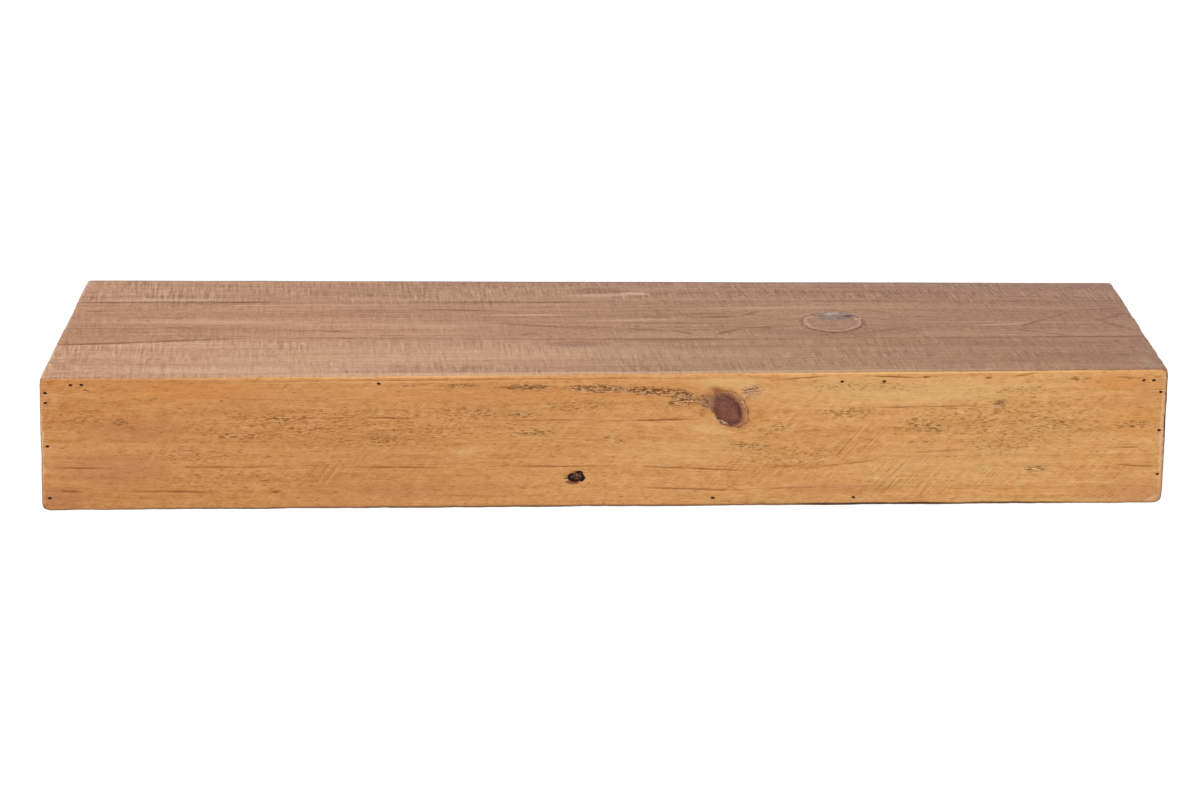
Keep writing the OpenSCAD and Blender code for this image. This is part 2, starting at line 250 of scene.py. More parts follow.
# The box's outer faces: the way along the grain, the way across it, outwards, and the start point
boxEnd, boxDepth, boxTop = [box[key] / metre for key in ("halfLength", "depth", "halfHeight")]
faces = {
    "front": ((1, 0, 0), (0, 0, 1), (0, -1, 0), (0, -boxDepth, 0)),
    "top": ((1, 0, 0), (0, 1, 0), (0, 0, 1), (0, -boxDepth, boxTop)),
    "bottom": ((-1, 0, 0), (0, 1, 0), (0, 0, -1), (0, -boxDepth, -boxTop)),
    "left": ((0, -1, 0), (0, 0, 1), (-1, 0, 0), (-boxEnd, -boxDepth / 2, 0)),
    "right": ((0, 1, 0), (0, 0, 1), (1, 0, 0), (boxEnd, -boxDepth / 2, 0)),
}


def faceFrame(side):
    along, across, out, start = faces[side]
    turn = Matrix((along, across, out)).transposed().to_4x4()
    return Matrix.Translation(start) @ turn


def coordinates(n, position):  # x, y and z of a point, in millimetres
    return [n.vector("DOT_PRODUCT", n.scaled(position, metre), axis) for axis in axes]


# How far the whole box leans and twists at a point: a vector in millimetres
def boxTwist(n, position):
    x, y, z = coordinates(n, position)
    right = n.calc("MULTIPLY_ADD", x, 0.5 / box["halfLength"], 0.5)
    back = n.calc("MULTIPLY_ADD", y, 1.0 / box["depth"], 1.0)
    above = n.calc("MULTIPLY_ADD", z, 0.5 / box["halfHeight"], 0.5)

    def between(share, first, second):
        return n.plus(first, n.times(share, n.calc("SUBTRACT", second, first)))

    topFront = between(right, *box["twistTopFront"])
    topBack = between(right, *box["twistTopBack"])
    bottomFront = between(right, *box["twistBottomFront"])
    bottom = n.times(bottomFront, n.calc("SUBTRACT", 1.0, back))
    lift = between(above, bottom, between(back, topFront, topBack))
    sway = between(above, between(right, *box["swayBottom"]), between(right, *box["swayTop"]))
    return n.join(sway, 0.0, lift)


# Where a point is on a board, in millimetres: along the grain, across it, and outwards
def boardPlace(n, position, side):
    along, across, out, start = faces[side]
    local = n.scaled(n.vector("SUBTRACT", position, start), metre)
    return [n.vector("DOT_PRODUCT", local, way) for way in (along, across, out)]


# A mask of marks. Each mark has its place along and across, half length, half width, turn in degrees,
# strength, and the share of its reach that is full, which is 0.3 where none is given
def marked(n, place, marks):
    total = 0.0
    for along, across, halfLength, halfWidth, turn, most, *full in marks:
        away = n.vector("SUBTRACT", place, (along, across, 0))
        if turn:
            away = n.turned(away, -turn)
        reach = n.vector("LENGTH", n.vector("DIVIDE", away, (halfLength, halfWidth, 1)))
        mask = n.fade(reach, 1.0, full[0] if full else 0.3, 0.0, most)
        total = n.most(mask, total)
    return total


# Sizes of the wood's patterns along the grain, across it and outwards, in millimetres
pattern = {
    "seedStep": 53.7,
    "ragged": (34, 6, 12), "raggedReach": (9, 2.6, 0), "wander": (430, 70, 70), "waves": (110, 60, 90),
    "broadLength": 320, "broadDepth": 40, "streakLength": 150, "streakDepth": 12, "fibre": (22, 0.9, 3),
    "ringWaver": (600, 30, 60), "ringPatch": (160, 9, 20), "ringSharp": 5.0, "ringSway": 3.0,
    "sawDepth": 12, "sawPatch": (48, 16, 40), "sawFade": (-3.2, -1.0),  # no saw marks deeper than this
    "dashStep": 9.1, "pitPatch": (60, 7, 20), "lineBreak": (16, 1.6, 5), "mottle": (11, 5, 8),
    "blotch": (130, 24, 40), "knotEdge": (9, 7, 9), "knotCrack": (2.2, 2.2, 4), "knotSpark": (1.8, 2.6, 3),
    "knotGrit": (3.5, 3, 4), "knotPatch": (9, 8, 9), "jointBreak": (38, 9, 9), "jointReach": 4.5,
}
crowding = {"pit": 0.1, "fleck": -0.09}  # how far a crowded place brings out more of each
# Strengths that all boards share
strength = {
    "streakRoughness": 0.16, "pitRoughness": 0.1, "knotSparks": 0.55, "knotCracks": 0.7,
    "knotCoreSoft": 0.85, "jointLeast": 0.4,
}
# Where a pattern starts to show and where it shows fully, then its least and most where these are given
shown = {
    "ring": (0.4, 0.62), "saw": (0.36, 0.64), "pit": (0.64, 0.7), "fleck": (0.37, 0.31),
    "pitPatch": (0.3, 0.62, 0.6, 1.0), "crowd": (0.4, 1.5, 0.4, 1.0), "chip": (0.0, 0.8, 0.5, 1.0),
    "lineBreak": (0.34, 0.56, 0.3, 1.0), "grit": (0.44, 0.6), "blotch": (0.45, 0.75), "crack": (0.54, 0.68),
    "spark": (0.44, 0.32), "knotPatch": (0.34, 0.6), "knotSwell": (1.25, 0.9), "knotSink": (0.75, 0.45),
    "jointBreak": (0.36, 0.6), "joint": (0.05, 0.85), "cloud": (0.42, 0.72), "fine": (0.55, 0.75, 0.0, 0.4),
}
# How much of each pattern goes into the fine relief that the material shows
fineRelief = {
    "fibre": 0.25, "streak": 0.35, "ticks": 1.6, "pits": -0.5, "ring": 0.12, "dark": -0.45, "mottle": 0.25,
    "chipped": -1.3,
}
# How much of some goes into the relief of the mesh, in millimetres
meshRelief = {"streak": 0.45, "ticks": 0.35, "pits": -0.25, "chipped": -0.35}


# The patterns of one board, used for its colours and for its relief
def woodFields(n, along, across, out, board):
    flat = n.join(along, across, 0.0)
    place = n.join(along, across, n.plus(out, board["seed"] * pattern["seedStep"]))
    rough = n.noise(place, pattern["ragged"], 3, 0.6, colour=True)
    rough = n.vector("SUBTRACT", rough, middle)
    ragged = n.vector("ADD", flat, n.vector("MULTIPLY", rough, board.get("ragged", pattern["raggedReach"])))
    bent = n.plus(across, n.swing(n.noise(place, pattern["wander"], 2), board["wander"]))
    knots = []
    for knot in board.get("knots", []):
        away = n.vector("SUBTRACT", flat, (knot["place"][0], knot["place"][1], 0))
        stretched = n.vector("DIVIDE", away, (knot["pull"][0], knot["pull"][1], 1))
        square = n.vector("DOT_PRODUCT", stretched, stretched)
        push = n.calc("DIVIDE", knot["bend"], n.most(square, 1.0))
        sideways = n.vector("DOT_PRODUCT", away, (0, 1, 0))
        bent = n.calc("SUBTRACT", bent, n.times(sideways, push))
        wobble = n.vector("SUBTRACT", n.noise(place, pattern["knotEdge"], 3, 0.6, colour=True), middle)
        turned = n.vector("ADD", n.turned(away, -knot["turn"]), n.scaled(wobble, knot["wobble"]))
        shape = n.vector("DIVIDE", turned, (knot["radius"][0], knot["radius"][1], 1))
        knots.append(n.vector("LENGTH", n.vector("MULTIPLY", shape, (1, 1, 0))))
    grain = n.join(along, bent, n.plus(out, board["seed"] * pattern["seedStep"]))
    broad = n.noise(grain, (pattern["broadLength"], board["broad"], pattern["broadDepth"]), 2, 0.5)
    streak = n.noise(grain, (pattern["streakLength"], board["streak"], pattern["streakDepth"]), 4, 0.62)
    fibre = n.noise(grain, pattern["fibre"], 3, 0.6)
    waver = n.swing(n.noise(place, pattern["ringWaver"], 2), pattern["ringSway"])
    phase = n.plus(n.calc("DIVIDE", bent, board["ringGap"]), waver)
    lateWood = n.calc("POWER", n.calc("FRACT", phase), pattern["ringSharp"])
    ring = n.times(lateWood, n.fade(n.noise(grain, pattern["ringPatch"], 3), *shown["ring"]))
    lean, leanGrowth = board["sawLean"]
    slope = n.plus(n.times(along, leanGrowth / box["halfLength"]), lean)
    tilted = n.calc("SUBTRACT", along, n.times(across, slope))
    sawSize = (board["sawPitch"], board["sawLength"], pattern["sawDepth"])
    ticks = n.noise(n.join(tilted, across, out), sawSize, 3, 0.62)
    zone = n.fade(n.noise(place, pattern["sawPatch"], 3, 0.62), *shown["saw"], board["sawLeast"], 1.0)
    if "sawZones" in board:
        zone = n.times(zone, n.most(marked(n, flat, board["sawZones"]), board["sawElsewhere"]))
    ticks = n.times(n.calc("SUBTRACT", ticks, 0.5), zone, n.fade(out, *pattern["sawFade"]))
    # Short dashes, which crowd into dark pits and pale flecks where the grain is torn
    dashPlace = n.vector("ADD", ragged, (0, 0, board["seed"] * pattern["dashStep"]))
    dashes = n.noise(dashPlace, board["dash"], 4, 0.7)
    crowd = n.most(marked(n, ragged, board.get("pitted", [])), board["pitsElsewhere"])
    crowd = n.times(crowd, n.fade(n.noise(place, pattern["pitPatch"], 3, 0.6), *shown["pitPatch"]))
    force = n.fade(crowd, *shown["crowd"])
    pits, flecks = [
        n.times(n.fade(n.calc("MULTIPLY_ADD", crowd, crowding[kind], dashes), *shown[kind]), force)
        for kind in ("pit", "fleck")
    ]
    chipped = n.times(n.swing(dashes, 1.0), n.fade(crowd, *shown["chip"]))
    broken = n.fade(n.noise(place, pattern["lineBreak"], 3, 0.65), *shown["lineBreak"])
    dark = n.times(marked(n, ragged, board.get("darkMarks", [])), broken)
    mottle = n.noise(place, pattern["mottle"], 3, 0.62)
    return {
        "flat": flat, "place": place, "ragged": ragged, "broad": broad, "streak": streak, "fibre": fibre,
        "ring": ring, "ticks": ticks, "pits": pits, "flecks": flecks, "dark": dark, "mottle": mottle,
        "chipped": chipped, "knots": knots,
    }


# Stains and painted light laid over a colour: real stains, and painted highlights and shade on eased edges
# and in hollows; grit breaks one into specks of that size, and without leaves places out
def layStainsAndPaintedLight(n, colour, wood, stainsAndPaintedLight):
    for stainOrPaintedLight in stainsAndPaintedLight:
        mask = marked(n, wood["ragged"], stainOrPaintedLight["marks"])
        if "grit" in stainOrPaintedLight:
            mask = n.times(mask, n.fade(n.noise(wood["place"], stainOrPaintedLight["grit"], 3, 0.7), *shown["grit"]))
        if "without" in stainOrPaintedLight:
            mask = n.times(mask, n.calc("SUBTRACT", 1.0, marked(n, wood["ragged"], stainOrPaintedLight["without"])))
        colour = n.mix(mask, colour, stainOrPaintedLight["colour"])
    return colour


# The material of one board
def pine(name, side, board):
    material, n = newMaterial(name)
    position = n.add("ShaderNodeTexCoord").outputs["Object"]
    straight = n.vector("SUBTRACT", position, n.scaled(boxTwist(n, position), 1 / metre))
    along, across, out = boardPlace(n, straight, side)
    wood = woodFields(n, along, across, out, board)
    tone = n.plus(
        0.5,
        n.swing(wood["broad"], board["broadTone"]),
        n.swing(wood["streak"], board["streakTone"]),
        n.swing(wood["fibre"], board["fibreTone"]),
        n.times(wood["ring"], -board["ringTone"]),
        n.times(wood["ticks"], board["sawTone"]),
        n.swing(wood["mottle"], board["mottleTone"]),
        n.times(wood["chipped"], -board["chipTone"]),
    )
    colour = n.ramp(tone, board["colours"])[0]
    blotch = n.fade(n.noise(wood["place"], pattern["blotch"], 3, 0.55), *shown["blotch"])
    colour = n.mix(n.times(blotch, board["blotch"]), colour, board["blotchColour"])
    ends = n.fade(along, -board["half"], board["half"])
    colour = n.mix(1.0, colour, n.mix(ends, *board["endColours"]), "MULTIPLY")
    colour = layStainsAndPaintedLight(n, colour, wood, board.get("stainsAndPaintedLight", []))
    colour = n.mix(n.times(wood["flecks"], board["fleckTone"]), colour, board["lightColour"])
    colour = n.mix(wood["dark"], colour, board["darkColour"])
    colour = n.mix(n.times(wood["pits"], board["pitTone"]), colour, board["pitColour"])
    for knot, reach in zip(board.get("knots", []), wood["knots"]):
        ripple = n.calc("SINE", n.times(reach, knot["rings"]))
        cracks = n.fade(n.noise(wood["place"], pattern["knotCrack"], 3, 0.7), *shown["crack"])
        sparks = n.fade(n.noise(wood["place"], pattern["knotSpark"], 3, 0.7), *shown["spark"])
        grit = n.noise(wood["place"], pattern["knotGrit"], 3, 0.7)
        reach = n.plus(reach, n.times(ripple, knot["ripple"]), n.swing(grit, knot["grit"]))
        ringColour, cover = n.ramp(n.times(reach, 0.5), knot["colours"])
        patches = n.noise(wood["place"], pattern["knotPatch"], 3, 0.6)
        patches = n.fade(patches, *shown["knotPatch"], 1 - knot["patchy"], 1.0)
        cover = n.times(cover, patches, knot["strength"])
        if "faded" in knot:  # the ring is lost beyond this line
            cover = n.times(cover, n.fade(across, *knot["faded"]))
        colour = n.mix(cover, colour, ringColour)
        core = n.fade(reach, knot["coreEdge"], knot["coreEdge"] * strength["knotCoreSoft"])
        colour = n.mix(n.times(core, sparks, strength["knotSparks"]), colour, knot["sparkColour"])
        colour = n.mix(n.times(core, cracks, strength["knotCracks"]), colour, knot["crackColour"])
    colour = layStainsAndPaintedLight(n, colour, wood, board.get("lateStainsAndPaintedLight", []))
    if "joint" in board:
        joint = n.add("ShaderNodeAttribute", attribute_name="joint").outputs["Fac"]
        broken = n.noise(wood["place"], pattern["jointBreak"], 3, 0.65)
        least = board["joint"] * strength["jointLeast"]
        broken = n.fade(broken, *shown["jointBreak"], least, board["joint"])
        wide = n.most(marked(n, wood["flat"], board["jointZones"]), board["jointElsewhere"])
        share = n.times(n.fade(joint, *shown["joint"]), broken, wide)
        colour = n.mix(share, colour, board["jointColour"])
    streaky = n.swing(wood["streak"], strength["streakRoughness"])
    roughness = n.plus(board["roughness"], streaky, n.times(wood["pits"], strength["pitRoughness"]))
    height = n.plus(*[n.times(wood[name], share) for name, share in fineRelief.items()])
    plain = {"IOR": board["ior"], "Specular IOR Level": board["gloss"]}
    endMaterial(n, colour, roughness, height, board["bump"], plain)
    return material


# How far the whole box is twisted and worn at a point: a vector in millimetres
def boxWarp(n, position, out, side):
    x, y, z = coordinates(n, position)
    half, deep, high, reach = box["halfLength"], box["depth"], box["halfHeight"], box["wearReach"]
    inside = n.fade(out, -box["thickness"], box["warpFull"])
    warp = n.scaled(boxTwist(n, position), inside)
    # Eased edges and corners wear more in some places
    place = n.scaled(position, metre)
    nearX = n.fade(n.calc("ABSOLUTE", x), half - reach, half)
    nearY = n.fade(y, -deep + reach, -deep)
    nearZ = n.fade(n.calc("ABSOLUTE", z), high - reach, high)
    worn = n.fade(n.noise(place, box["wearPatch"], 3, 0.6), *box["wearShown"], *box["edgeWear"])
    corner = n.times(nearX, nearY, nearZ, box["cornerWear"])
    edges = n.most(n.times(nearX, nearY), n.times(nearX, nearZ), n.times(nearY, nearZ))
    pull = n.times(n.plus(n.times(edges, worn), corner), inside)
    inward = n.join(n.times(nearX, n.calc("SIGN", x), -1.0), nearY, n.times(nearZ, n.calc("SIGN", z), -1.0))
    warp = n.vector("ADD", warp, n.scaled(inward, pull))
    if side in ("top", "bottom"):
        front, rear = [
            n.plus(box[joint + "Shift"], *[n.fade(x, a, b, 0.0, by) for a, b, by in box[joint + "Wander"]])
            for joint in ("frontJoint", "rearJoint")
        ]
        frontJoint, rearJoint = box["joints"]
        near = n.times(n.fade(y, -deep, frontJoint), n.fade(y, rearJoint, frontJoint))
        far = n.times(n.fade(y, frontJoint, rearJoint), n.fade(y, 0, rearJoint))
        wobble = n.swing(n.noise(place, box["wobbleSize"], 3, 0.65), box["jointWobble"])
        wander = n.plus(n.times(front, near), n.times(rear, far), n.times(wobble, n.plus(near, far)))
        wander = n.times(wander, inside)
        warp = n.vector("ADD", warp, n.join(0.0, wander, 0.0))
    return warp


# Relief of one board, pressed into its mesh by geometry nodes
def carve(piece, side, board, flatSides):
    tree = bpy.data.node_groups.new(piece.name + "Relief", "GeometryNodeTree")
    tree.interface.new_socket("Geometry", in_out="INPUT", socket_type="NodeSocketGeometry")
    tree.interface.new_socket("Geometry", in_out="OUTPUT", socket_type="NodeSocketGeometry")
    n = Nodes(tree)
    geometry = n.add("NodeGroupInput").outputs[0]
    position = n.add("GeometryNodeInputPosition").outputs[0]
    along, across, out = boardPlace(n, position, side)
    # Closeness to a joint with the next plank, kept for the material
    joint = 0.0
    for level in board.get("joints", []):
        gap = n.calc("ABSOLUTE", n.calc("SUBTRACT", across, level))
        joint = n.most(n.fade(gap, pattern["jointReach"], 0.0), joint)
    kept = {"Geometry": geometry, "Name": "joint", "Value": joint}
    kept = n.add("GeometryNodeStoreNamedAttribute", kept, data_type="FLOAT", domain="POINT")
    geometry = kept.outputs[0]
    offset = n.scaled(boxWarp(n, position, out, side), 1 / metre)
    geometry = n.add("GeometryNodeSetPosition", {"Geometry": geometry, "Offset": offset}).outputs[0]
    # The relief follows the colours, which are placed on the straightened box
    straight = n.vector("SUBTRACT", position, n.scaled(boxTwist(n, position), 1 / metre))
    along, across, out = boardPlace(n, straight, side)
    wood = woodFields(n, along, across, out, board)
    height = n.plus(
        n.swing(n.noise(wood["place"], pattern["waves"], 2), board["waves"]),
        n.swing(wood["streak"], meshRelief["streak"]),
        n.times(wood["ticks"], meshRelief["ticks"]),
        n.times(wood["dark"], -board["markDepth"]),
        n.times(wood["pits"], meshRelief["pits"]),
        n.times(wood["chipped"], meshRelief["chipped"]),
    )
    for knot, reach in zip(board.get("knots", []), wood["knots"]):
        swell = n.fade(reach, *shown["knotSwell"], 0.0, knot["swell"])
        height = n.plus(height, swell, n.fade(reach, *shown["knotSink"], 0.0, knot["sink"]))
    for hollow in board.get("hollows", []):
        mask = marked(n, wood["ragged"], hollow["marks"])
        if "without" in hollow:
            mask = n.times(mask, n.calc("SUBTRACT", 1.0, marked(n, wood["ragged"], hollow["without"])))
        height = n.plus(height, n.times(mask, -hollow["depth"]))
    if board.get("joints"):
        named = n.add("GeometryNodeInputNamedAttribute", {"Name": "joint"}, data_type="FLOAT").outputs[0]
        height = n.plus(height, n.times(n.calc("POWER", named, 2.0), -board["jointDepth"]))
    keep = n.fade(out, -box["thickness"], box["reliefFull"])
    for axis, level, inner in flatSides:
        keep = n.times(keep, n.fade(along if axis == "along" else across, level, inner))
    lift = n.scaled(faces[side][2], n.times(height, keep, 1 / metre))
    geometry = n.add("GeometryNodeSetPosition", {"Geometry": geometry, "Offset": lift}).outputs[0]
    n.add("NodeGroupOutput", {0: geometry})
    modifier = piece.modifiers.new("relief", "NODES")
    modifier.node_group = tree
    bpy.ops.object.modifier_apply(modifier="relief")


# A board: a fine grid for its face, an eased edge on each mitred side, the mitres and the inner face
def makeBoard(name, side, along, across, mitre, cell, board):
    bpy.ops.object.select_all(action="DESELECT")
    (low, high), (near, far) = along, across  # in millimetres
    mitred = {edge: edge in mitre for edge in ("low", "high", "near", "far")}
    radius = box["edgeRadius"]
    flat = [
        low + radius * mitred["low"], high - radius * mitred["high"],
        near + radius * mitred["near"], far - radius * mitred["far"],
    ]
    length, width = flat[1] - flat[0], flat[3] - flat[2]
    bpy.ops.mesh.primitive_grid_add(
        x_subdivisions=round(length / cell), y_subdivisions=round(width / cell), size=1,
        location=((flat[0] + flat[1]) / (2 * metre), (flat[2] + flat[3]) / (2 * metre), 0),
    )
    piece = bpy.context.object
    piece.name = name
    piece.scale = (length / metre, width / metre, 1)
    bpy.ops.object.transform_apply(location=True, rotation=True, scale=True)
    # A straight side keeps its line while the mitred ones move outwards or inwards
    centre, moves, reach = [], [], []
    for start, end, first, second in ((flat[0], flat[1], "low", "high"), (flat[2], flat[3], "near", "far")):
        centre.append(end if not mitred[second] else start if not mitred[first] else (start + end) / 2)
        moves.append(mitred[first] or mitred[second])
        reach.append(max(abs(end - centre[-1]), abs(start - centre[-1])))
    bpy.ops.object.mode_set(mode="EDIT")
    bpy.ops.mesh.select_mode(type="EDGE")
    bpy.ops.mesh.select_all(action="SELECT")
    bpy.ops.mesh.region_to_loop()
    steps = [
        (radius * (1 - math.sin(math.radians(turn))), radius * (math.cos(math.radians(turn)) - 1))
        for turn in box["edgeSteps"]
    ]
    steps.append((box["thickness"], -box["thickness"]))
    inset, level = radius, 0.0
    for nextInset, nextLevel in steps:
        factors = [
            (distance + radius - nextInset) / (distance + radius - inset) if moving else 1.0
            for distance, moving in zip(reach, moves)
        ]
        drop = {"value": (0, 0, (nextLevel - level) / metre)}
        bpy.ops.mesh.extrude_edges_move(TRANSFORM_OT_translate=drop)
        middlePoint = (centre[0] / metre, centre[1] / metre, 0)
        bpy.ops.transform.resize(value=(*factors, 1), center_override=middlePoint)
        inset, level = nextInset, nextLevel
    bpy.ops.mesh.edge_face_add()
    bpy.ops.mesh.select_all(action="SELECT")
    bpy.ops.mesh.normals_make_consistent(inside=False)
    bpy.ops.object.mode_set(mode="OBJECT")
    piece.matrix_world = faceFrame(side)
    bpy.ops.object.transform_apply(location=True, rotation=True, scale=True)
    sides = (
        ("low", "along", low, 1), ("high", "along", high, -1),
        ("near", "across", near, 1), ("far", "across", far, -1),
    )
    begin, full = box["reliefFade"]
    flatSides = [
        (axis, edge + way * begin, edge + way * full) for key, axis, edge, way in sides if mitred[key]
    ]
    carve(piece, side, board, flatSides)
    return piece


def finishBoard(piece, material, slot, *replaced):
    bpy.ops.object.select_all(action="DESELECT")
    piece.select_set(True)
    bpy.context.view_layer.objects.active = piece
    bpy.ops.object.shade_smooth_by_angle(angle=math.radians(box["smoothAngle"]))
    piece.data.materials.clear()
    piece.data.materials.append(material)
    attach(piece, "shelf_box")
    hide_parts(*replaced)


# What all boards share, what those of one colour share, and then what is special to each one
anyPine = {"sawLength": 40, "half": 457, "blotch": 0.3, "bump": 0.0009, "ior": 1.45}
goldenPine = {
    **anyPine, "slot": "golden_pine",
    "broad": 26, "streak": 3.4, "ringGap": 9.5, "wander": 16,
    "broadTone": 0.2, "streakTone": 0.22, "fibreTone": 0.3, "ringTone": 0.08, "mottleTone": 0.4,
    "chipTone": 0.8, "sawLean": (0.8, 0.1), "sawPitch": 2.2, "sawTone": 1.1, "sawLeast": 0.1,
    "pitsElsewhere": 0.1, "pitTone": 0.72, "dash": (4.8, 1.15, 3), "fleckTone": 0.4,
    "colours": [
        (0.1, 160, 98, 46), (0.33, 205, 140, 74), (0.52, 228, 170, 106), (0.72, 243, 192, 132),
        (0.95, 254, 218, 168),
    ],
    "blotchColour": (206, 142, 90),
    "endColours": ((240, 226, 224), (255, 255, 255)),
    "lightColour": (246, 204, 142), "darkColour": (146, 82, 32), "pitColour": (150, 76, 16),
    "roughness": 0.62, "gloss": 0.16, "waves": 0.7, "markDepth": 0.4,
}
greyPine = {
    **anyPine, "slot": "grey_pine",
    "broad": 22, "streak": 4.6, "ringGap": 11, "wander": 14,
    "broadTone": 0.4, "streakTone": 0.45, "fibreTone": 0.25, "ringTone": 0.1, "mottleTone": 0.3,
    "chipTone": 0.6, "sawLean": (-0.08, 0.0), "sawPitch": 2.4, "sawTone": 1.5, "sawLeast": 0.15,
    "pitsElsewhere": 0.4, "pitTone": 0.55, "dash": (4.5, 3.4, 5), "fleckTone": 0.5,
    "colours": [
        (0.1, 124, 80, 52), (0.33, 166, 116, 82), (0.52, 194, 144, 110), (0.72, 213, 168, 134),
        (0.95, 240, 204, 174),
    ],
    "blotchColour": (174, 124, 94),
    "endColours": ((248, 244, 240), (209, 206, 202)),
    "lightColour": (232, 192, 162), "darkColour": (124, 74, 50), "pitColour": (126, 80, 56),
    "roughness": 0.6, "gloss": 0.3, "waves": 0.8, "markDepth": 0.5, "jointDepth": 0.5,
    "joint": 0.8, "jointColour": (112, 64, 42), "jointElsewhere": 0.3, "jointZones": [
        (-380, 105, 130, 30, 0, 0.8), (60, 105, 110, 30, 0, 0.8), (415, 110, 70, 30, 0, 0.9),
        (-370, 232, 150, 30, 0, 1.1), (-80, 232, 130, 30, 0, 0.7), (230, 232, 120, 30, 0, 0.6),
    ],
}

frontKnot = {
    "place": (101.8, 26.6), "radius": (18.0, 13.0), "turn": -44, "pull": (34, 18), "bend": 0.85,
    "rings": 60, "ripple": 0.022, "grit": 0.18, "strength": 1.0, "patchy": 0.35, "coreEdge": 0.1,
    "crackColour": (90, 54, 40), "sparkColour": (190, 140, 110),
    "swell": 0.5, "sink": 0.0, "wobble": 5.0,
    "colours": [
        (0.0, 140, 90, 72, 0.95), (0.33, 150, 98, 76, 0.95), (0.37, 180, 126, 96, 0.85),
        (0.41, 144, 92, 70, 0.9), (0.445, 184, 130, 94, 0.8), (0.485, 116, 68, 46, 0.95),
        (0.52, 190, 124, 76, 0.4), (0.64, 206, 140, 80, 0.0),
    ],
}
frontKnotCore = {
    "place": (99.9, 25.6), "radius": (14.7, 10.6), "turn": -53, "pull": (34, 18), "bend": 0.0,
    "rings": 34, "ripple": 0.015, "grit": 0.3, "strength": 0.96, "patchy": 0.12, "coreEdge": 0.95,
    "crackColour": (70, 36, 32), "sparkColour": (160, 108, 84),
    "swell": 0.0, "sink": -0.4, "wobble": 4.0,
    "colours": [
        (0.0, 126, 78, 62), (0.24, 130, 80, 66), (0.38, 116, 68, 58), (0.45, 96, 54, 46),
        (0.5, 120, 72, 58, 0.8), (0.58, 150, 100, 78, 0.0),
    ],
}
smallKnot = {
    "place": (321, 29.6), "radius": (6.5, 2.4), "turn": 12, "pull": (14, 5), "bend": 0.8,
    "rings": 12, "ripple": 0.02, "grit": 0.7, "strength": 0.4, "patchy": 0.7, "coreEdge": 0.5,
    "crackColour": (84, 50, 36), "sparkColour": (190, 140, 100),
    "swell": 0.1, "sink": -0.2, "wobble": 4.0,
    "colours": [
        (0.0, 108, 64, 44), (0.3, 134, 82, 54, 0.9), (0.48, 170, 112, 68, 0.5), (0.8, 198, 138, 84, 0.0),
    ],
}
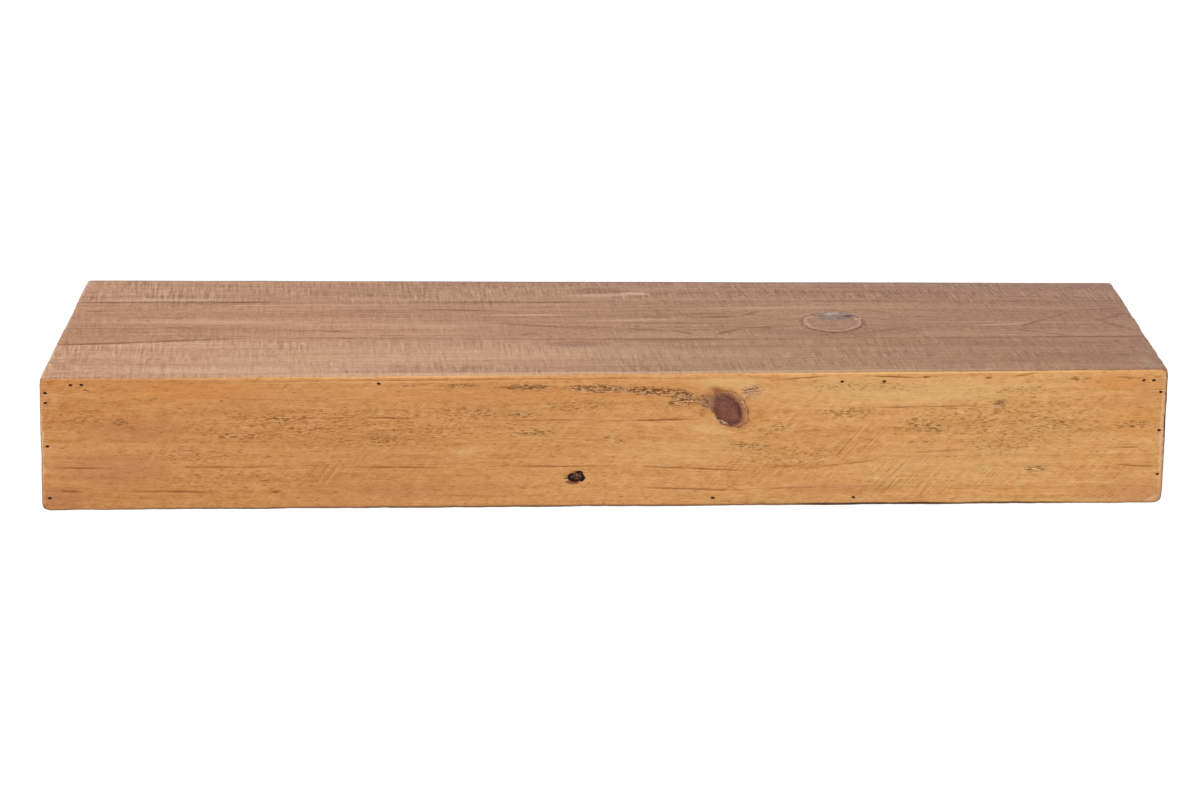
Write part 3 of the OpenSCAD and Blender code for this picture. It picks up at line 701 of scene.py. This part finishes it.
frontBoard = dict(
    goldenPine, seed=3, knots=[frontKnot, frontKnotCore, smallKnot], ragged=(7, 1.8, 0), sawElsewhere=0.3,
    sawZones=[
        (232, -32, 60, 18, 20, 1.5), (202, -1, 50, 18, 15, 1.2), (290, -36, 90, 14, 5, 1.2),
        (-218, -29, 40, 16, -10, 0.9), (400, -34, 60, 20, 0, 0.6), (-120, 24, 60, 20, 0, 0.6),
        (120, -30, 60, 20, 0, 0.8), (-350, -16, 60, 20, 0, 0.5),
    ],
    darkMarks=[
        (-173, 21.0, 30, 0.9, 0, 0.75), (-230, 21.5, 34, 0.8, 0, 0.5), (-45, 18.0, 66, 0.8, 0, 0.5),
        (46, 17.3, 34, 1.0, 1, 0.9), (20, 17.3, 30, 1.0, 0, 0.5), (-425, -20, 30, 1.1, -1, 0.6),
        (-307, -20.1, 61, 1.1, 0, 0.55), (-165, -21.2, 57, 1.1, -1, 0.65), (-39, -21.3, 61, 1.1, 0, 0.65),
        (75, -24.1, 61, 0.9, -3, 0.7), (201, -20.7, 65, 0.8, 6, 0.5), (275, -10.8, 34, 0.8, 3, 0.5),
        (424, -8.6, 17, 0.7, 0, 0.8), (433, -24.3, 21, 0.8, -5, 0.7), (239, 26.7, 26, 0.8, 1, 0.65),
        (278, 27.1, 40, 0.8, 1, 0.5), (-433, -39.8, 18, 1.4, -1, 0.8), (-351, -40.7, 48, 1.4, -1, 0.7),
        (75, -41.7, 61, 1.2, -2, 0.65), (148, -41.1, 45, 1.1, 1, 0.4), (-266, -41.3, 5, 1.6, 8, 0.8),
        (-418, 46.4, 4, 0.8, -16, 0.9), (-425, 48.6, 5, 0.7, 3, 0.6), (-364, 38.8, 4, 1.0, -3, 0.8),
        (-310, 36.3, 2.4, 1.2, 0, 0.9), (160, 51.6, 27, 0.8, 4, 0.8), (234, 52.2, 30, 0.9, -2, 0.85),
        (260, 51.6, 4, 1.5, 4, 0.9), (312, 50.5, 5, 1.5, 7, 0.9), (342, 53.2, 16, 1.2, 8, 0.6),
        (425, 50, 16, 0.9, -2, 0.6), (448, 50.5, 6, 0.9, 8, 0.5), (-100, 52.5, 340, 0.7, 0, 0.45),
        (-391, 18.6, 8, 4.5, 0, 0.35),
    ],
    pitted=[
        (-116, 47.6, 22, 3.4, 0, 1.1), (-62, 45.8, 32, 4.2, 0, 1.2), (-5, 44, 34, 5.6, -1, 1.5),
        (36, 41.6, 30, 5.6, -3, 1.6), (63, 37, 17, 8, -12, 1.7), (56, 30, 12, 5, 0, 1.2),
        (121, 42, 13, 6.5, 12, 1.2), (117, -5.4, 26, 5.2, 0, 1.2), (140, 10, 24, 7, 20, 0.8),
        (-180, 2.4, 20, 4.8, 0, 1.1), (-56, 7.7, 26, 4.6, 0, 1.2), (9, 0.8, 16, 4, -10, 1.1),
        (-67, 22.6, 28, 3.2, 0, 1.0), (-291, 6.5, 50, 4.2, -2, 1.1), (-259, 21.6, 40, 3.4, -1, 1.1),
        (-389, 16.8, 14, 6, -20, 1.1), (-230, 12, 70, 7, 0, 0.8), (260, 11.5, 26, 7, -12, 1.3),
        (257, -3.3, 20, 3.4, 0, 1.1), (200, 22, 40, 8, 0, 0.9), (368, 11.1, 32, 7, 0, 1.1),
        (431, 10.6, 26, 5.4, 0, 1.1), (353, -26.3, 14, 4.4, 6, 1.2), (383, 49.3, 14, 3.2, -6, 1.3),
        (340, 40, 40, 6, 0, 0.8), (210, 44, 70, 6, 0, 0.8), (-110, 24, 60, 10, 0, 0.7),
        (330, -6, 60, 12, 0, 0.7), (-20, 30, 50, 8, 0, 0.8), (-330, -8, 60, 14, 0, 0.6),
        (-420, 20, 30, 12, 0, 0.6), (330, 16, 130, 34, 0, 0.7, 0.2), (-200, 14, 220, 30, 0, 0.65, 0.2),
        (150, -14, 90, 18, 0, 0.5), (-300, -30, 120, 14, 0, 0.4),
    ],
    stainsAndPaintedLight=[
        {"colour": (190, 124, 84), "marks": [
            (-400, -20, 70, 20, 0, 0.45), (-440, -45, 36, 14, 0, 0.6), (-380, 12, 60, 14, 0, 0.3),
            (-150, -40, 110, 12, 0, 0.3), (430, -48, 60, 10, 0, 0.35), (190, -42, 60, 8, 0, 0.35),
        ]},
        {"colour": (224, 142, 72), "marks": [
            (415, 46, 44, 9, 0, 0.5), (-60, 40, 200, 10, 0, 0.2), (-330, 44, 90, 10, 0, 0.35),
            (430, 14, 34, 20, 0, 0.35), (60, 47, 60, 6, 0, 0.2),
        ]},
        {"colour": (238, 192, 130), "marks": [
            (240, 40, 160, 18, 0, 0.35), (100, 48, 40, 7, 0, 0.6), (60, -10, 90, 14, 0, 0.25),
            (290, -20, 120, 22, 0, 0.25), (-111, -8.8, 13, 7, 38, 0.35), (88, 9, 26, 6, -10, 0.5),
        ]},
        # painted highlight along the eased top edge of the front board
        {"colour": (250, 206, 140), "marks": [
            (-250, 55.8, 240, 1.2, 0, 0.2, 0.5), (270, 55.4, 190, 1.5, 0, 0.4, 0.5),
            (-130, 55.4, 140, 1.1, 0.3, 0.4, 0.5), (-150, 51.4, 160, 0.6, 0, 0.35, 0.5),
        ]},
        # painted highlight down the eased left and right edges and on the lower right corner
        {"colour": (244, 196, 156), "marks": [
            (453.6, 0, 2.0, 64, 0, 0.6), (-455.6, 0, 1.7, 70, 0, 0.6), (449, -52, 8, 3, 30, 0.5),
        ]},
        # painted shade down the outer eased right edge and along the eased bottom edge
        {"colour": (92, 66, 64), "marks": [
            (456.9, 10, 1.5, 58, 0, 0.9, 0.7), (0, -55.6, 600, 1.8, 0, 0.55, 0.5),
        ]},
        # a dark nick at the top right corner, and deeper painted shade along parts of the bottom edge
        {"colour": (40, 24, 22), "marks": [
            (456.5, 52, 2.4, 5, 0, 1.0, 0.7), (230, -54.9, 90, 1.5, 0, 0.9), (330, -54.8, 70, 1.2, 0, 0.7),
            (180, -55, 30, 1.6, 0, 0.8),
        ]},
        {"colour": (244, 204, 176), "grit": (1.6, 1.2, 2), "marks": [
            (120, 40, 12, 9, 12, 0.8), (66, 36.5, 15, 6.5, -12, 0.5), (-5, 43.4, 34, 4, -1, 0.5),
            (34, 40.6, 24, 3.4, -3, 0.5),
        ]},
        {"colour": (104, 46, 16), "grit": (2.0, 1.2, 2), "marks": [
            (66, 36, 18, 8.5, -12, 0.95), (36, 42.6, 42, 4.4, -3, 0.9), (119, 40, 12, 8, 12, 0.6),
            (-8, 44.8, 40, 3.6, -1, 0.85), (-64, 46.2, 34, 3.2, 0, 0.75), (-116, 48, 22, 2.8, 0, 0.7),
            (321, 29.6, 7.5, 2.6, 12, 1.2, 0.2), (-160, 48, 14, 1.2, 0, 0.6), (120, -5, 20, 2.2, -4, 0.5),
            (-60, 7, 20, 1.6, 0, 0.4), (-180, 4, 22, 2, 0, 0.4), (250, 8, 40, 2.2, -4, 0.45),
        ]},
        {"colour": (142, 84, 52), "marks": [(-25, -35, 8, 2.4, 0, 1.0, 0.5), (-22, -25.6, 7, 1.5, 0, 0.5)]},
        {"colour": (38, 18, 16), "marks": [
            (-25.5, -30.5, 4, 4, 0, 1.6, 0.6), (-20.5, -29, 4.6, 4.4, 20, 1.6, 0.6),
            (-17.2, -31.6, 3.2, 3.6, 0, 1.5, 0.6), (-22.5, -33, 5.4, 2.4, 0, 1.4, 0.6),
            (-30, -31.5, 3, 1.0, 0, 0.8),
        ]},
        {"colour": (166, 120, 104), "grit": (1.6, 1.3, 2), "marks": [(-22, -30, 6, 4, 0, 1.1, 0.3)]},
    ],
    lateStainsAndPaintedLight=[
        {"colour": (176, 130, 100), "marks": [(83.5, 32.4, 9.5, 9.5, 20, 1.1, 0.0)]},
        {"colour": (128, 84, 60), "grit": (2.6, 1.6, 2), "marks": [
            (81, 33, 10, 10, 20, 0.9), (88, 36, 6, 8, -30, 0.8),
        ]},
        {"colour": (156, 92, 58), "marks": [
            (91.4, 42.4, 10, 5, -16, 0.9, 0.0), (102, 38.6, 10, 2.2, -38, 0.6, 0.0),
            (84, 38, 8, 4.5, 30, 0.4, 0.0),
        ]},
        {"colour": (88, 44, 48), "marks": [(109, 23.5, 3.2, 7, 20, 0.6, 0.0)]},
        {"colour": (142, 104, 86), "marks": [(94.6, 36.4, 7.5, 2.8, -18, 0.6, 0.0)]},
        # painted highlight: pale crescents on the knot's rim
        {"colour": (240, 204, 162), "grit": (2.4, 1.4, 2), "marks": [
            (96.2, 15.2, 7, 1.6, -24, 1.2, 0.2), (90, 18.4, 5, 3.6, -50, 0.6, 0.0),
            (113.4, 31, 1.8, 7, 24, 0.6, 0.0),
        ]},
        {"colour": (50, 24, 20), "marks": [
            (91.9, 19, 1.5, 0.9, -40, 0.9), (101.4, 14.6, 1.5, 0.8, 0, 0.9),
        ]},
        {"colour": (150, 98, 58), "grit": (2.6, 1.4, 2), "marks": [
            (80, 22.5, 6, 4, -50, 0.8, 0.1), (118, 12, 12, 4, 10, 0.4, 0.1),
        ]},
    ],
    hollows=[{"marks": [
        (-25.5, -30.5, 4, 4, 0, 1.0, 0.5), (-20.5, -29, 4.6, 4.4, 20, 1.0, 0.5),
        (-17.2, -31.6, 3.2, 3.6, 0, 0.8, 0.5), (-22.5, -33, 5.4, 2.4, 0, 0.8, 0.5),
    ], "depth": 3.0}],
)
topFront = dict(
    greyPine, seed=11, joints=[110], sawTone=1.25, endColours=((255, 255, 255), (206, 201, 193)),
    darkMarks=[
        (-28, 92, 40, 10, -1, 0.45), (66, 104.5, 66, 4, 1, 0.5), (230, 60, 80, 3, 0, 0.3),
        (-300, 60, 70, 3, 0, 0.2), (340, 86, 110, 12, 0, 0.4), (240, 84, 80, 10, 0, 0.3),
        (400, 40, 60, 20, 0, 0.25), (110, 80, 90, 10, 0, 0.25),
    ],
    stainsAndPaintedLight=[
        # painted highlight along the eased front and left edges, and a pale patch
        {"colour": (238, 198, 160), "marks": [
            (0, 3, 480, 4.5, 0, 0.35), (-455, 50, 3, 90, 0, 0.4), (-300, 20, 160, 16, 0, 0.25),
        ]},
        {"colour": (234, 188, 144), "marks": [(-160, 56, 330, 62, 0, 0.24, 0.0)]},
        {"colour": (148, 98, 64), "marks": [(60, 101, 76, 12, 1, 0.8, 0.0), (-15, 96, 40, 12, 0, 0.4)]},
        {"colour": (168, 148, 118), "marks": [(443, 28, 12, 34, 24, 0.3, 0.0)]},
        # painted shade down the eased right edge
        {"colour": (104, 84, 76), "marks": [(457, 60, 1.6, 110, 0, 0.7, 0.6)]},
    ],
)
topEye = {
    "place": (196, 161), "radius": (25.8, 34.8), "turn": 0, "pull": (44, 36), "bend": 0.8,
    "rings": 40, "ripple": 0.02, "grit": 0.2, "strength": 1.0, "patchy": 0.5, "coreEdge": 0.3,
    "crackColour": (100, 76, 66), "sparkColour": (210, 170, 140), "faded": (196, 172),
    "swell": 0.3, "sink": -0.2, "wobble": 7.0,
    "colours": [
        (0.0, 180, 132, 102, 0.0), (0.405, 190, 142, 112, 0.0), (0.435, 216, 172, 140, 0.6),
        (0.46, 190, 142, 110, 0.5), (0.48, 116, 66, 44, 1.0), (0.52, 110, 62, 42, 1.0),
        (0.55, 170, 120, 90, 0.4), (0.58, 190, 142, 110, 0.0),
    ],
}
topMiddle = dict(
    greyPine, seed=23, joints=[110, 232], knots=[topEye], sawTone=0.7, streakTone=0.6, ragged=(12, 5, 0),
    endColours=((244, 236, 226), (211, 209, 205)),
    darkMarks=[
        (-436, 201.8, 12, 4.4, -8, 0.7), (-361, 148.4, 26, 3.0, -1, 0.65), (-257, 137.6, 27, 3.0, -1, 0.5),
        (-124, 205.3, 56, 3.6, -5, 0.65), (-210, 204, 40, 3.4, -2, 0.5), (-45, 150.2, 69, 3.4, -11, 0.6),
        (-223, 135.2, 17, 3.2, -5, 0.8), (-178, 122.1, 15, 3.2, -1, 0.7), (-63, 125.2, 11, 4.0, 28, 0.7),
        (33, 138.9, 20, 3.4, -7, 0.8), (68, 128.1, 20, 3.2, -29, 0.7), (43, 202.4, 30, 3.0, 4, 0.5),
        (97, 179.2, 21, 2.6, 2, 0.95), (125, 190.7, 14, 2.8, 51, 0.95), (106, 130, 19, 3.0, 41, 0.8),
        (146, 145, 28, 2.6, 6, 0.6), (441, 200, 30, 12, -75, 0.3), (74, 188.8, 58, 4.0, 5, 0.5),
        (-120, 170, 60, 3.0, 0, 0.35), (300, 205, 90, 3.0, 0, 0.4), (-380, 180, 50, 3.0, 0, 0.35),
        (60, 160, 50, 3.0, -2, 0.4), (240, 196, 24, 4, -30, 0.5), (260, 178, 30, 3, 10, 0.4),
        (360, 150, 40, 3, 0, 0.35),
    ],
    stainsAndPaintedLight=[
        # pale grain lines, and a painted highlight along the eased left edge
        {"colour": (214, 172, 140), "marks": [
            (-250, 222, 120, 4, 0, 0.5), (-60, 188, 60, 4.0, 0, 0.5), (340, 152, 34, 5.0, 10, 0.4),
            (-455, 170, 3, 90, 0, 0.4), (-330, 165, 120, 10, 0, 0.4), (20, 170, 60, 5, 4, 0.4),
            (150, 212, 90, 6, 0, 0.3), (-150, 150, 60, 8, 0, 0.3),
        ]},
        {"colour": (124, 64, 40), "marks": [
            (382, 117.2, 24, 3.4, -20, 0.8, 0.0), (359, 130, 22, 3.4, -32, 0.75, 0.0),
            (365.4, 155.6, 32, 3.4, 45, 0.8, 0.0), (394.3, 186, 30, 3.4, 48, 0.75, 0.0),
            (430, 205, 34, 4, 9, 0.7, 0.0), (438, 178.2, 26, 4, 36, 0.8, 0.0),
            (438, 147, 34, 4, -57, 0.85, 0.0), (425, 167, 7, 8, 0, 0.7, 0.0),
            (101, 182, 32, 3, 1.5, 0.8, 0.0), (47, 181.3, 34, 2.6, 1, 0.7, 0.0),
            (130, 191, 14, 3, 60, 0.8, 0.0), (-124, 205.3, 60, 3.2, -5, 0.6, 0.0),
            (34, 138.9, 26, 3.4, -7, 0.5, 0.0), (103, 129.5, 20, 3, 42, 0.7, 0.0),
            (136, 146.4, 30, 2.8, 17, 0.6, 0.0), (-6, 147.3, 38, 3, -10, 0.65, 0.0),
            (54, 145.7, 34, 2.8, 7, 0.5, 0.0), (-223, 135.2, 20, 3, -5, 0.6, 0.0),
            (-45, 150.2, 69, 3, -11, 0.5, 0.0),
        ]},
        # painted shade down the eased right edge
        {"colour": (104, 84, 76), "marks": [(457, 170, 1.6, 110, 0, 0.7, 0.6)]},
    ],
    lateStainsAndPaintedLight=[
        {"colour": (150, 120, 104), "marks": [(198, 188, 22, 20, -2, 1.1, 0.3)],
         "without": [(193, 160, 26, 11, 3, 1.4, 0.5)]},
        {"colour": (92, 66, 56), "grit": (4, 6, 4), "marks": [(198, 188, 22, 19, -2, 0.8, 0.3)],
         "without": [(193, 160, 26, 11, 3, 1.4, 0.5)]},
        # painted highlight inside the hollow
        {"colour": (204, 182, 168), "grit": (5, 4, 4), "marks": [(193, 196, 17, 8, -2, 0.65, 0.2)]},
        # painted shade along the hollow's lower edge
        {"colour": (92, 64, 56), "marks": [(199, 177, 19, 9, -2, 0.95, 0.3)],
         "without": [(197, 184, 21, 9, -2, 1.4, 0.5)]},
        {"colour": (62, 44, 52), "marks": [
            (211.5, 185, 6.5, 9, 20, 0.95, 0.2), (181, 186.5, 3.4, 5.5, 0, 0.95),
        ]},
        {"colour": (232, 196, 168), "grit": (2.5, 3, 3), "marks": [
            (174, 152.5, 4.5, 7, 0, 0.8, 0.2), (219, 168, 5, 13, 0, 0.8, 0.2),
        ]},
        {"colour": (124, 78, 56), "grit": (2.2, 4, 3), "marks": [
            (220, 164, 8, 16, 0, 0.8, 0.2), (243, 170, 20, 3.5, 4, 0.6, 0.2),
        ]},
    ],
    hollows=[{
        "marks": [(198, 187, 21, 17, -2, 1.0, 0.5)], "depth": 1.6,
        "without": [(194, 162, 26, 11, 3, 1.2, 0.6)],
    }],
)
topRear = dict(
    greyPine, seed=37, joints=[232], endColours=((244, 243, 246), (209, 206, 207)),
    darkMarks=[(-2, 272, 34, 16, 0, 0.6), (-220, 262, 60, 4, 0, 0.3), (250, 268, 90, 4, 0, 0.3)],
    stainsAndPaintedLight=[
        # pale patches, and a painted highlight along the eased left edge
        {"colour": (226, 190, 164), "marks": [
            (30, 261.8, 18, 6.5, -11, 0.6), (5, 257, 48, 9, 8, 0.4), (-455, 270, 3, 60, 0, 0.4),
            (-380, 240, 90, 4, 0, 0.4),
        ]},
        # painted shade down the eased right edge, and darker along the rear edge
        {"colour": (108, 92, 84), "marks": [
            (457, 270, 1.6, 110, 0, 0.6, 0.6), (0, 304, 600, 3.6, 0, 0.6, 0.5),
        ]},
    ],
)
bottomFront = dict(greyPine, seed=41, joints=[110], stainsAndPaintedLight=[
    # painted shade along the eased front edge
    {"colour": (78, 60, 56), "marks": [(0, 0, 600, 2.0, 0, 0.9, 0.6)]},
])
bottomMiddle = dict(greyPine, seed=43, joints=[110, 232])
bottomRear = dict(greyPine, seed=47, joints=[232])
endBoard = dict(goldenPine, half=152, sawLean=(0.2, 0.1), colours=[
    (0.1, 120, 80, 54), (0.33, 160, 114, 78), (0.52, 187, 139, 98), (0.72, 206, 160, 118),
    (0.95, 228, 190, 148),
])
leftEnd = dict(endBoard, seed=53)
rightEnd = dict(endBoard, seed=59, stainsAndPaintedLight=[
    # painted shade down the eased front edge, and a dark nick at the top front corner
    {"colour": (74, 52, 52), "marks": [(-151, 12, 2.6, 56, 0, 0.95, 0.6)]},
    {"colour": (34, 20, 18), "marks": [(-151.5, 49, 2.6, 7, 0, 1.0, 0.4)]},
])

mitres = {
    "all": ("low", "high", "near", "far"), "front": ("low", "high", "near"), "ends": ("low", "high"),
    "left": ("high", "near", "far"), "right": ("low", "near", "far"),
}
whole, endSpan, tall = (-457, 457), (-152.5, 152.5), (-57, 57)
frontPart, middlePart, rearPart = (0, 110), (110, 232), (232, 305)  # of the top and of the bottom
boards = [  # name, face, extent along and across, mitred sides, grid step, settings, CAD node
    ("frontFace", "front", whole, tall, "all", 1.25, frontBoard, "front_board"),
    ("topPlankFront", "top", whole, frontPart, "front", 1.25, topFront, "top_front_plank"),
    ("topPlankMiddle", "top", whole, middlePart, "ends", 1.4, topMiddle, "top_middle_plank"),
    ("topPlankRear", "top", whole, rearPart, "ends", 1.4, topRear, "top_rear_plank"),
    ("bottomPlankFront", "bottom", whole, frontPart, "front", 2.0, bottomFront, "bottom_front_plank"),
    ("bottomPlankMiddle", "bottom", whole, middlePart, "ends", 2.0, bottomMiddle, "bottom_middle_plank"),
    ("bottomPlankRear", "bottom", whole, rearPart, "ends", 2.0, bottomRear, "bottom_rear_plank"),
    ("leftEndFace", "left", endSpan, tall, "left", 1.4, leftEnd, "left_end_board"),
    ("rightEndFace", "right", endSpan, tall, "right", 1.4, rightEnd, "right_end_board"),
]

# Holes with straight sides: nail holes, flared at the face, and the two holes for the lock screws
holes = {
    "nails": [  # along and up the front, in millimetres
        (-430.7, 49), (-421.8, 49), (-181.9, 49), (192.8, 49), (226.9, 49), (437.4, 49), (445.5, 49),
        (88.8, -49), (203.6, -49), (-451.5, 42.4), (-451.5, 34.1), (-451.5, -2.6), (-451.5, -46.6),
        (451.5, 39.1), (451.5, 6.8), (451.5, -30.4),
    ],
    "nailDepth": 3.2, "nailRadius": 1.3, "nailFlare": 1.7, "nailOval": (1.15, 0.8, 1), "nailTurn": 0.25,
    "locks": [(-304.8, -48), (304.8, -48)], "lockRadius": 6.55, "lockDepth": 50, "lockMiddle": -48,
}


def bore(piece, cutters):
    bpy.ops.object.select_all(action="DESELECT")
    for cutter in cutters:
        cutter.select_set(True)
    bpy.context.view_layer.objects.active = cutters[0]
    bpy.ops.object.join()
    drill = bpy.context.object
    bpy.ops.object.transform_apply(location=True, rotation=True, scale=True)
    drill.select_set(False)
    piece.select_set(True)
    bpy.context.view_layer.objects.active = piece
    cut = piece.modifiers.new("holes", "BOOLEAN")
    cut.operation = "DIFFERENCE"
    cut.solver = "EXACT"
    cut.object = drill
    bpy.ops.object.modifier_apply(modifier="holes")
    bpy.data.objects.remove(drill)


def boreNailHoles(piece):
    cutters = []
    for number, (x, z) in enumerate(holes["nails"]):
        flare = holes["nailFlare"] * (0.85 + 0.3 * ((number * 7) % 5) / 4)  # each one a little different
        bpy.ops.mesh.primitive_cone_add(
            vertices=14, radius1=holes["nailRadius"] / metre, radius2=flare / metre,
            depth=2 * holes["nailDepth"] / metre, scale=holes["nailOval"],
            location=(x / metre, -boxDepth, z / metre),
            rotation=(math.radians(90), holes["nailTurn"] * math.sin(number), 0),
        )
        cutters.append(bpy.context.object)
    bore(piece, cutters)


def boreLockHoles(piece):
    cutters = []
    for x, y in holes["locks"]:
        bpy.ops.mesh.primitive_cylinder_add(
            vertices=40, radius=holes["lockRadius"] / metre, depth=holes["lockDepth"] / metre,
            location=(x / metre, y / metre, holes["lockMiddle"] / metre),
        )
        cutters.append(bpy.context.object)
    bore(piece, cutters)


for name, side, along, across, mitre, cell, settings, node in boards:
    piece = makeBoard(name, side, along, across, mitres[mitre], cell, settings)
    if node == "front_board":
        boreNailHoles(piece)
    if node == "bottom_rear_plank":
        boreLockHoles(piece)
    finishBoard(piece, pine(name + "Pine", side, settings), settings["slot"], node)
    print("board ready:", name, len(piece.data.polygons), "faces")

# Materials of the parts that keep their CAD shape
railPine = {
    "gap": 5.5, "ringTone": 0.2, "roughness": 0.62, "bump": 0.0003,
    "colours": [(0.1, 176, 132, 84), (0.4, 208, 168, 116), (0.65, 222, 188, 140), (0.95, 236, 208, 166)],
}
blockPine = {
    "gap": 4.0, "ringTone": 0.22, "roughness": 0.66, "bump": 0.0003,
    "colours": [(0.1, 170, 124, 76), (0.4, 202, 160, 108), (0.65, 218, 180, 130), (0.95, 232, 202, 158)],
}
beech = {
    "gap": 2.2, "ringTone": 0.12, "roughness": 0.55, "bump": 0.0002,
    "colours": [(0.1, 186, 146, 108), (0.4, 210, 174, 134), (0.65, 222, 190, 152), (0.95, 234, 208, 174)],
}
plainWoods = {  # along is the axis of the grain: 0 for X and 1 for Y
    "railPine": dict(railPine, along=0, seed=5),
    "blockPineAlong": dict(blockPine, along=0, seed=7),
    "blockPineAcross": dict(blockPine, along=1, seed=9),
    "dowelBeech": dict(beech, along=1, seed=11),
    "railDowelBeech": dict(beech, along=0, seed=13),
}
planed = {  # what they share: sizes of the patterns in millimetres, and strengths
    "seedStep": (61.0, 37.0, 19.0), "wander": (220, 40, 40), "wanderBy": 16, "heart": 60.0,
    "ringSharp": 3.0, "streak": (90, 2.4, 2.4), "fibre": (14, 0.5, 0.5), "grime": (50, 30, 30),
    "grimeShown": (0.55, 0.8, 0.0, 0.35), "tone": 0.55, "streakTone": 0.5, "fibreTone": 0.3,
    "streakRoughness": 0.15, "relief": 0.5, "ringRelief": 0.2, "gloss": 0.35,
}
metals = {
    "oldIron": {
        "colour": (58, 50, 44), "worn": (96, 62, 44), "metallic": 0.7, "roughness": 0.62,
        "grain": (2.5, 2.5, 2.5), "fine": (0.5, 0.5, 0.5), "bump": 0.0002, "spread": 0.25,
    },
    "satinBrass": {
        "colour": (196, 158, 84), "worn": (150, 112, 54), "metallic": 1.0, "roughness": 0.34,
        "grain": (6, 6, 6), "fine": (3, 3, 0.25), "bump": 0.00006, "spread": 0.14,
    },
    "brightZinc": {
        "colour": (188, 192, 196), "worn": (150, 154, 160), "metallic": 1.0, "roughness": 0.36,
        "grain": (5, 5, 5), "fine": (2.5, 2.5, 0.3), "bump": 0.00006, "spread": 0.16,
    },
    "blackPowder": {
        "colour": (38, 38, 41), "worn": (54, 53, 54), "metallic": 0.0, "roughness": 0.52,
        "grain": (60, 60, 30), "fine": (0.9, 0.9, 0.9), "bump": 0.00025, "spread": 0.16,
    },
    "weldedPowder": {
        "colour": (38, 38, 41), "worn": (58, 56, 56), "metallic": 0.0, "roughness": 0.5,
        "grain": (6, 6, 6), "fine": (1.6, 1.6, 1.6), "bump": 0.0005, "spread": 0.2,
    },
}


def planedWood(name, wood):
    material, n = newMaterial(name)
    place = n.scaled(n.add("ShaderNodeTexCoord").outputs["Object"], metre)
    place = n.vector("ADD", place, [wood["seed"] * step for step in planed["seedStep"]])
    grainWay = axes[wood["along"]]
    order = [grainWay] + [way for way in axes if way != grainWay]
    along, across, deep = [n.vector("DOT_PRODUCT", place, way) for way in order]
    wander = n.swing(n.noise(n.join(along, across, deep), planed["wander"], 2), planed["wanderBy"])
    # Growth rings seen from the end of the piece, stretched into lines along it
    ringPlace = n.join(n.plus(across, wander), n.calc("MULTIPLY_ADD", deep, 1.0, planed["heart"]), 0.0)
    phase = n.calc("DIVIDE", n.vector("LENGTH", ringPlace), wood["gap"])
    ring = n.calc("POWER", n.calc("FRACT", phase), planed["ringSharp"])
    streaked = n.join(along, n.plus(across, wander), deep)
    streak = n.noise(streaked, planed["streak"], 4, 0.6)
    fibre = n.noise(streaked, planed["fibre"], 3, 0.6)
    tone = n.plus(planed["tone"], n.swing(streak, planed["streakTone"]))
    tone = n.plus(tone, n.swing(fibre, planed["fibreTone"]), n.times(ring, -wood["ringTone"]))
    colour = n.ramp(tone, wood["colours"])[0]
    grime = n.fade(n.noise(place, planed["grime"], 3, 0.6), *planed["grimeShown"])
    colour = n.mix(grime, colour, wood["colours"][0][1:])
    height = n.plus(n.times(fibre, planed["relief"]), n.times(streak, planed["relief"]))
    height = n.plus(height, n.times(ring, planed["ringRelief"]))
    roughness = n.plus(wood["roughness"], n.swing(streak, planed["streakRoughness"]))
    endMaterial(n, colour, roughness, height, wood["bump"], {"Specular IOR Level": planed["gloss"]})
    return material


def metalFinish(name, metal):
    material, n = newMaterial(name)
    place = n.scaled(n.add("ShaderNodeTexCoord").outputs["Object"], metre)
    cloud = n.noise(place, metal["grain"], 3, 0.6)
    fine = n.noise(place, metal["fine"], 3, 0.6)
    colour = n.mix(n.fade(cloud, *shown["cloud"]), metal["colour"], metal["worn"])
    colour = n.mix(n.fade(fine, *shown["fine"]), colour, metal["worn"])
    spread = metal["spread"]
    roughness = n.plus(metal["roughness"], n.swing(cloud, spread), n.swing(fine, spread / 2))
    endMaterial(n, colour, roughness, fine, metal["bump"], {"Metallic": metal["metallic"]})
    return material


finishes = {name: planedWood(name, wood) for name, wood in plainWoods.items()}
finishes.update({name: metalFinish(name, metal) for name, metal in metals.items()})
finishedNodes = {
    "railPine": ["rear_rail", "middle_rail"],
    "blockPineAlong": ["front_top_block", "front_bottom_block"],
    "blockPineAcross": ["left_top_block", "left_bottom_block", "right_top_block", "right_bottom_block"],
    "dowelBeech": ["top_front_dowels", "top_rear_dowels", "bottom_front_dowels", "bottom_rear_dowels"],
    "railDowelBeech": ["rail_dowels"],
    "oldIron": ["front_nails"],
    "satinBrass": ["left_lock_insert", "right_lock_insert"],
    "brightZinc": ["left_lock_screw", "right_lock_screw"],
    "blackPowder": ["wall_plate", "left_outer_rod", "left_inner_rod", "right_inner_rod", "right_outer_rod"],
    "weldedPowder": ["rod_welds"],
}
for finish, names in finishedNodes.items():
    for name in names:
        slots = nodes[name].material_slots
        for slot in slots:
            slot.material = finishes[finish]
        if not slots:
            nodes[name].data.materials.append(finishes[finish])
print("finishes on", sum(len(names) for names in finishedNodes.values()), "CAD nodes")
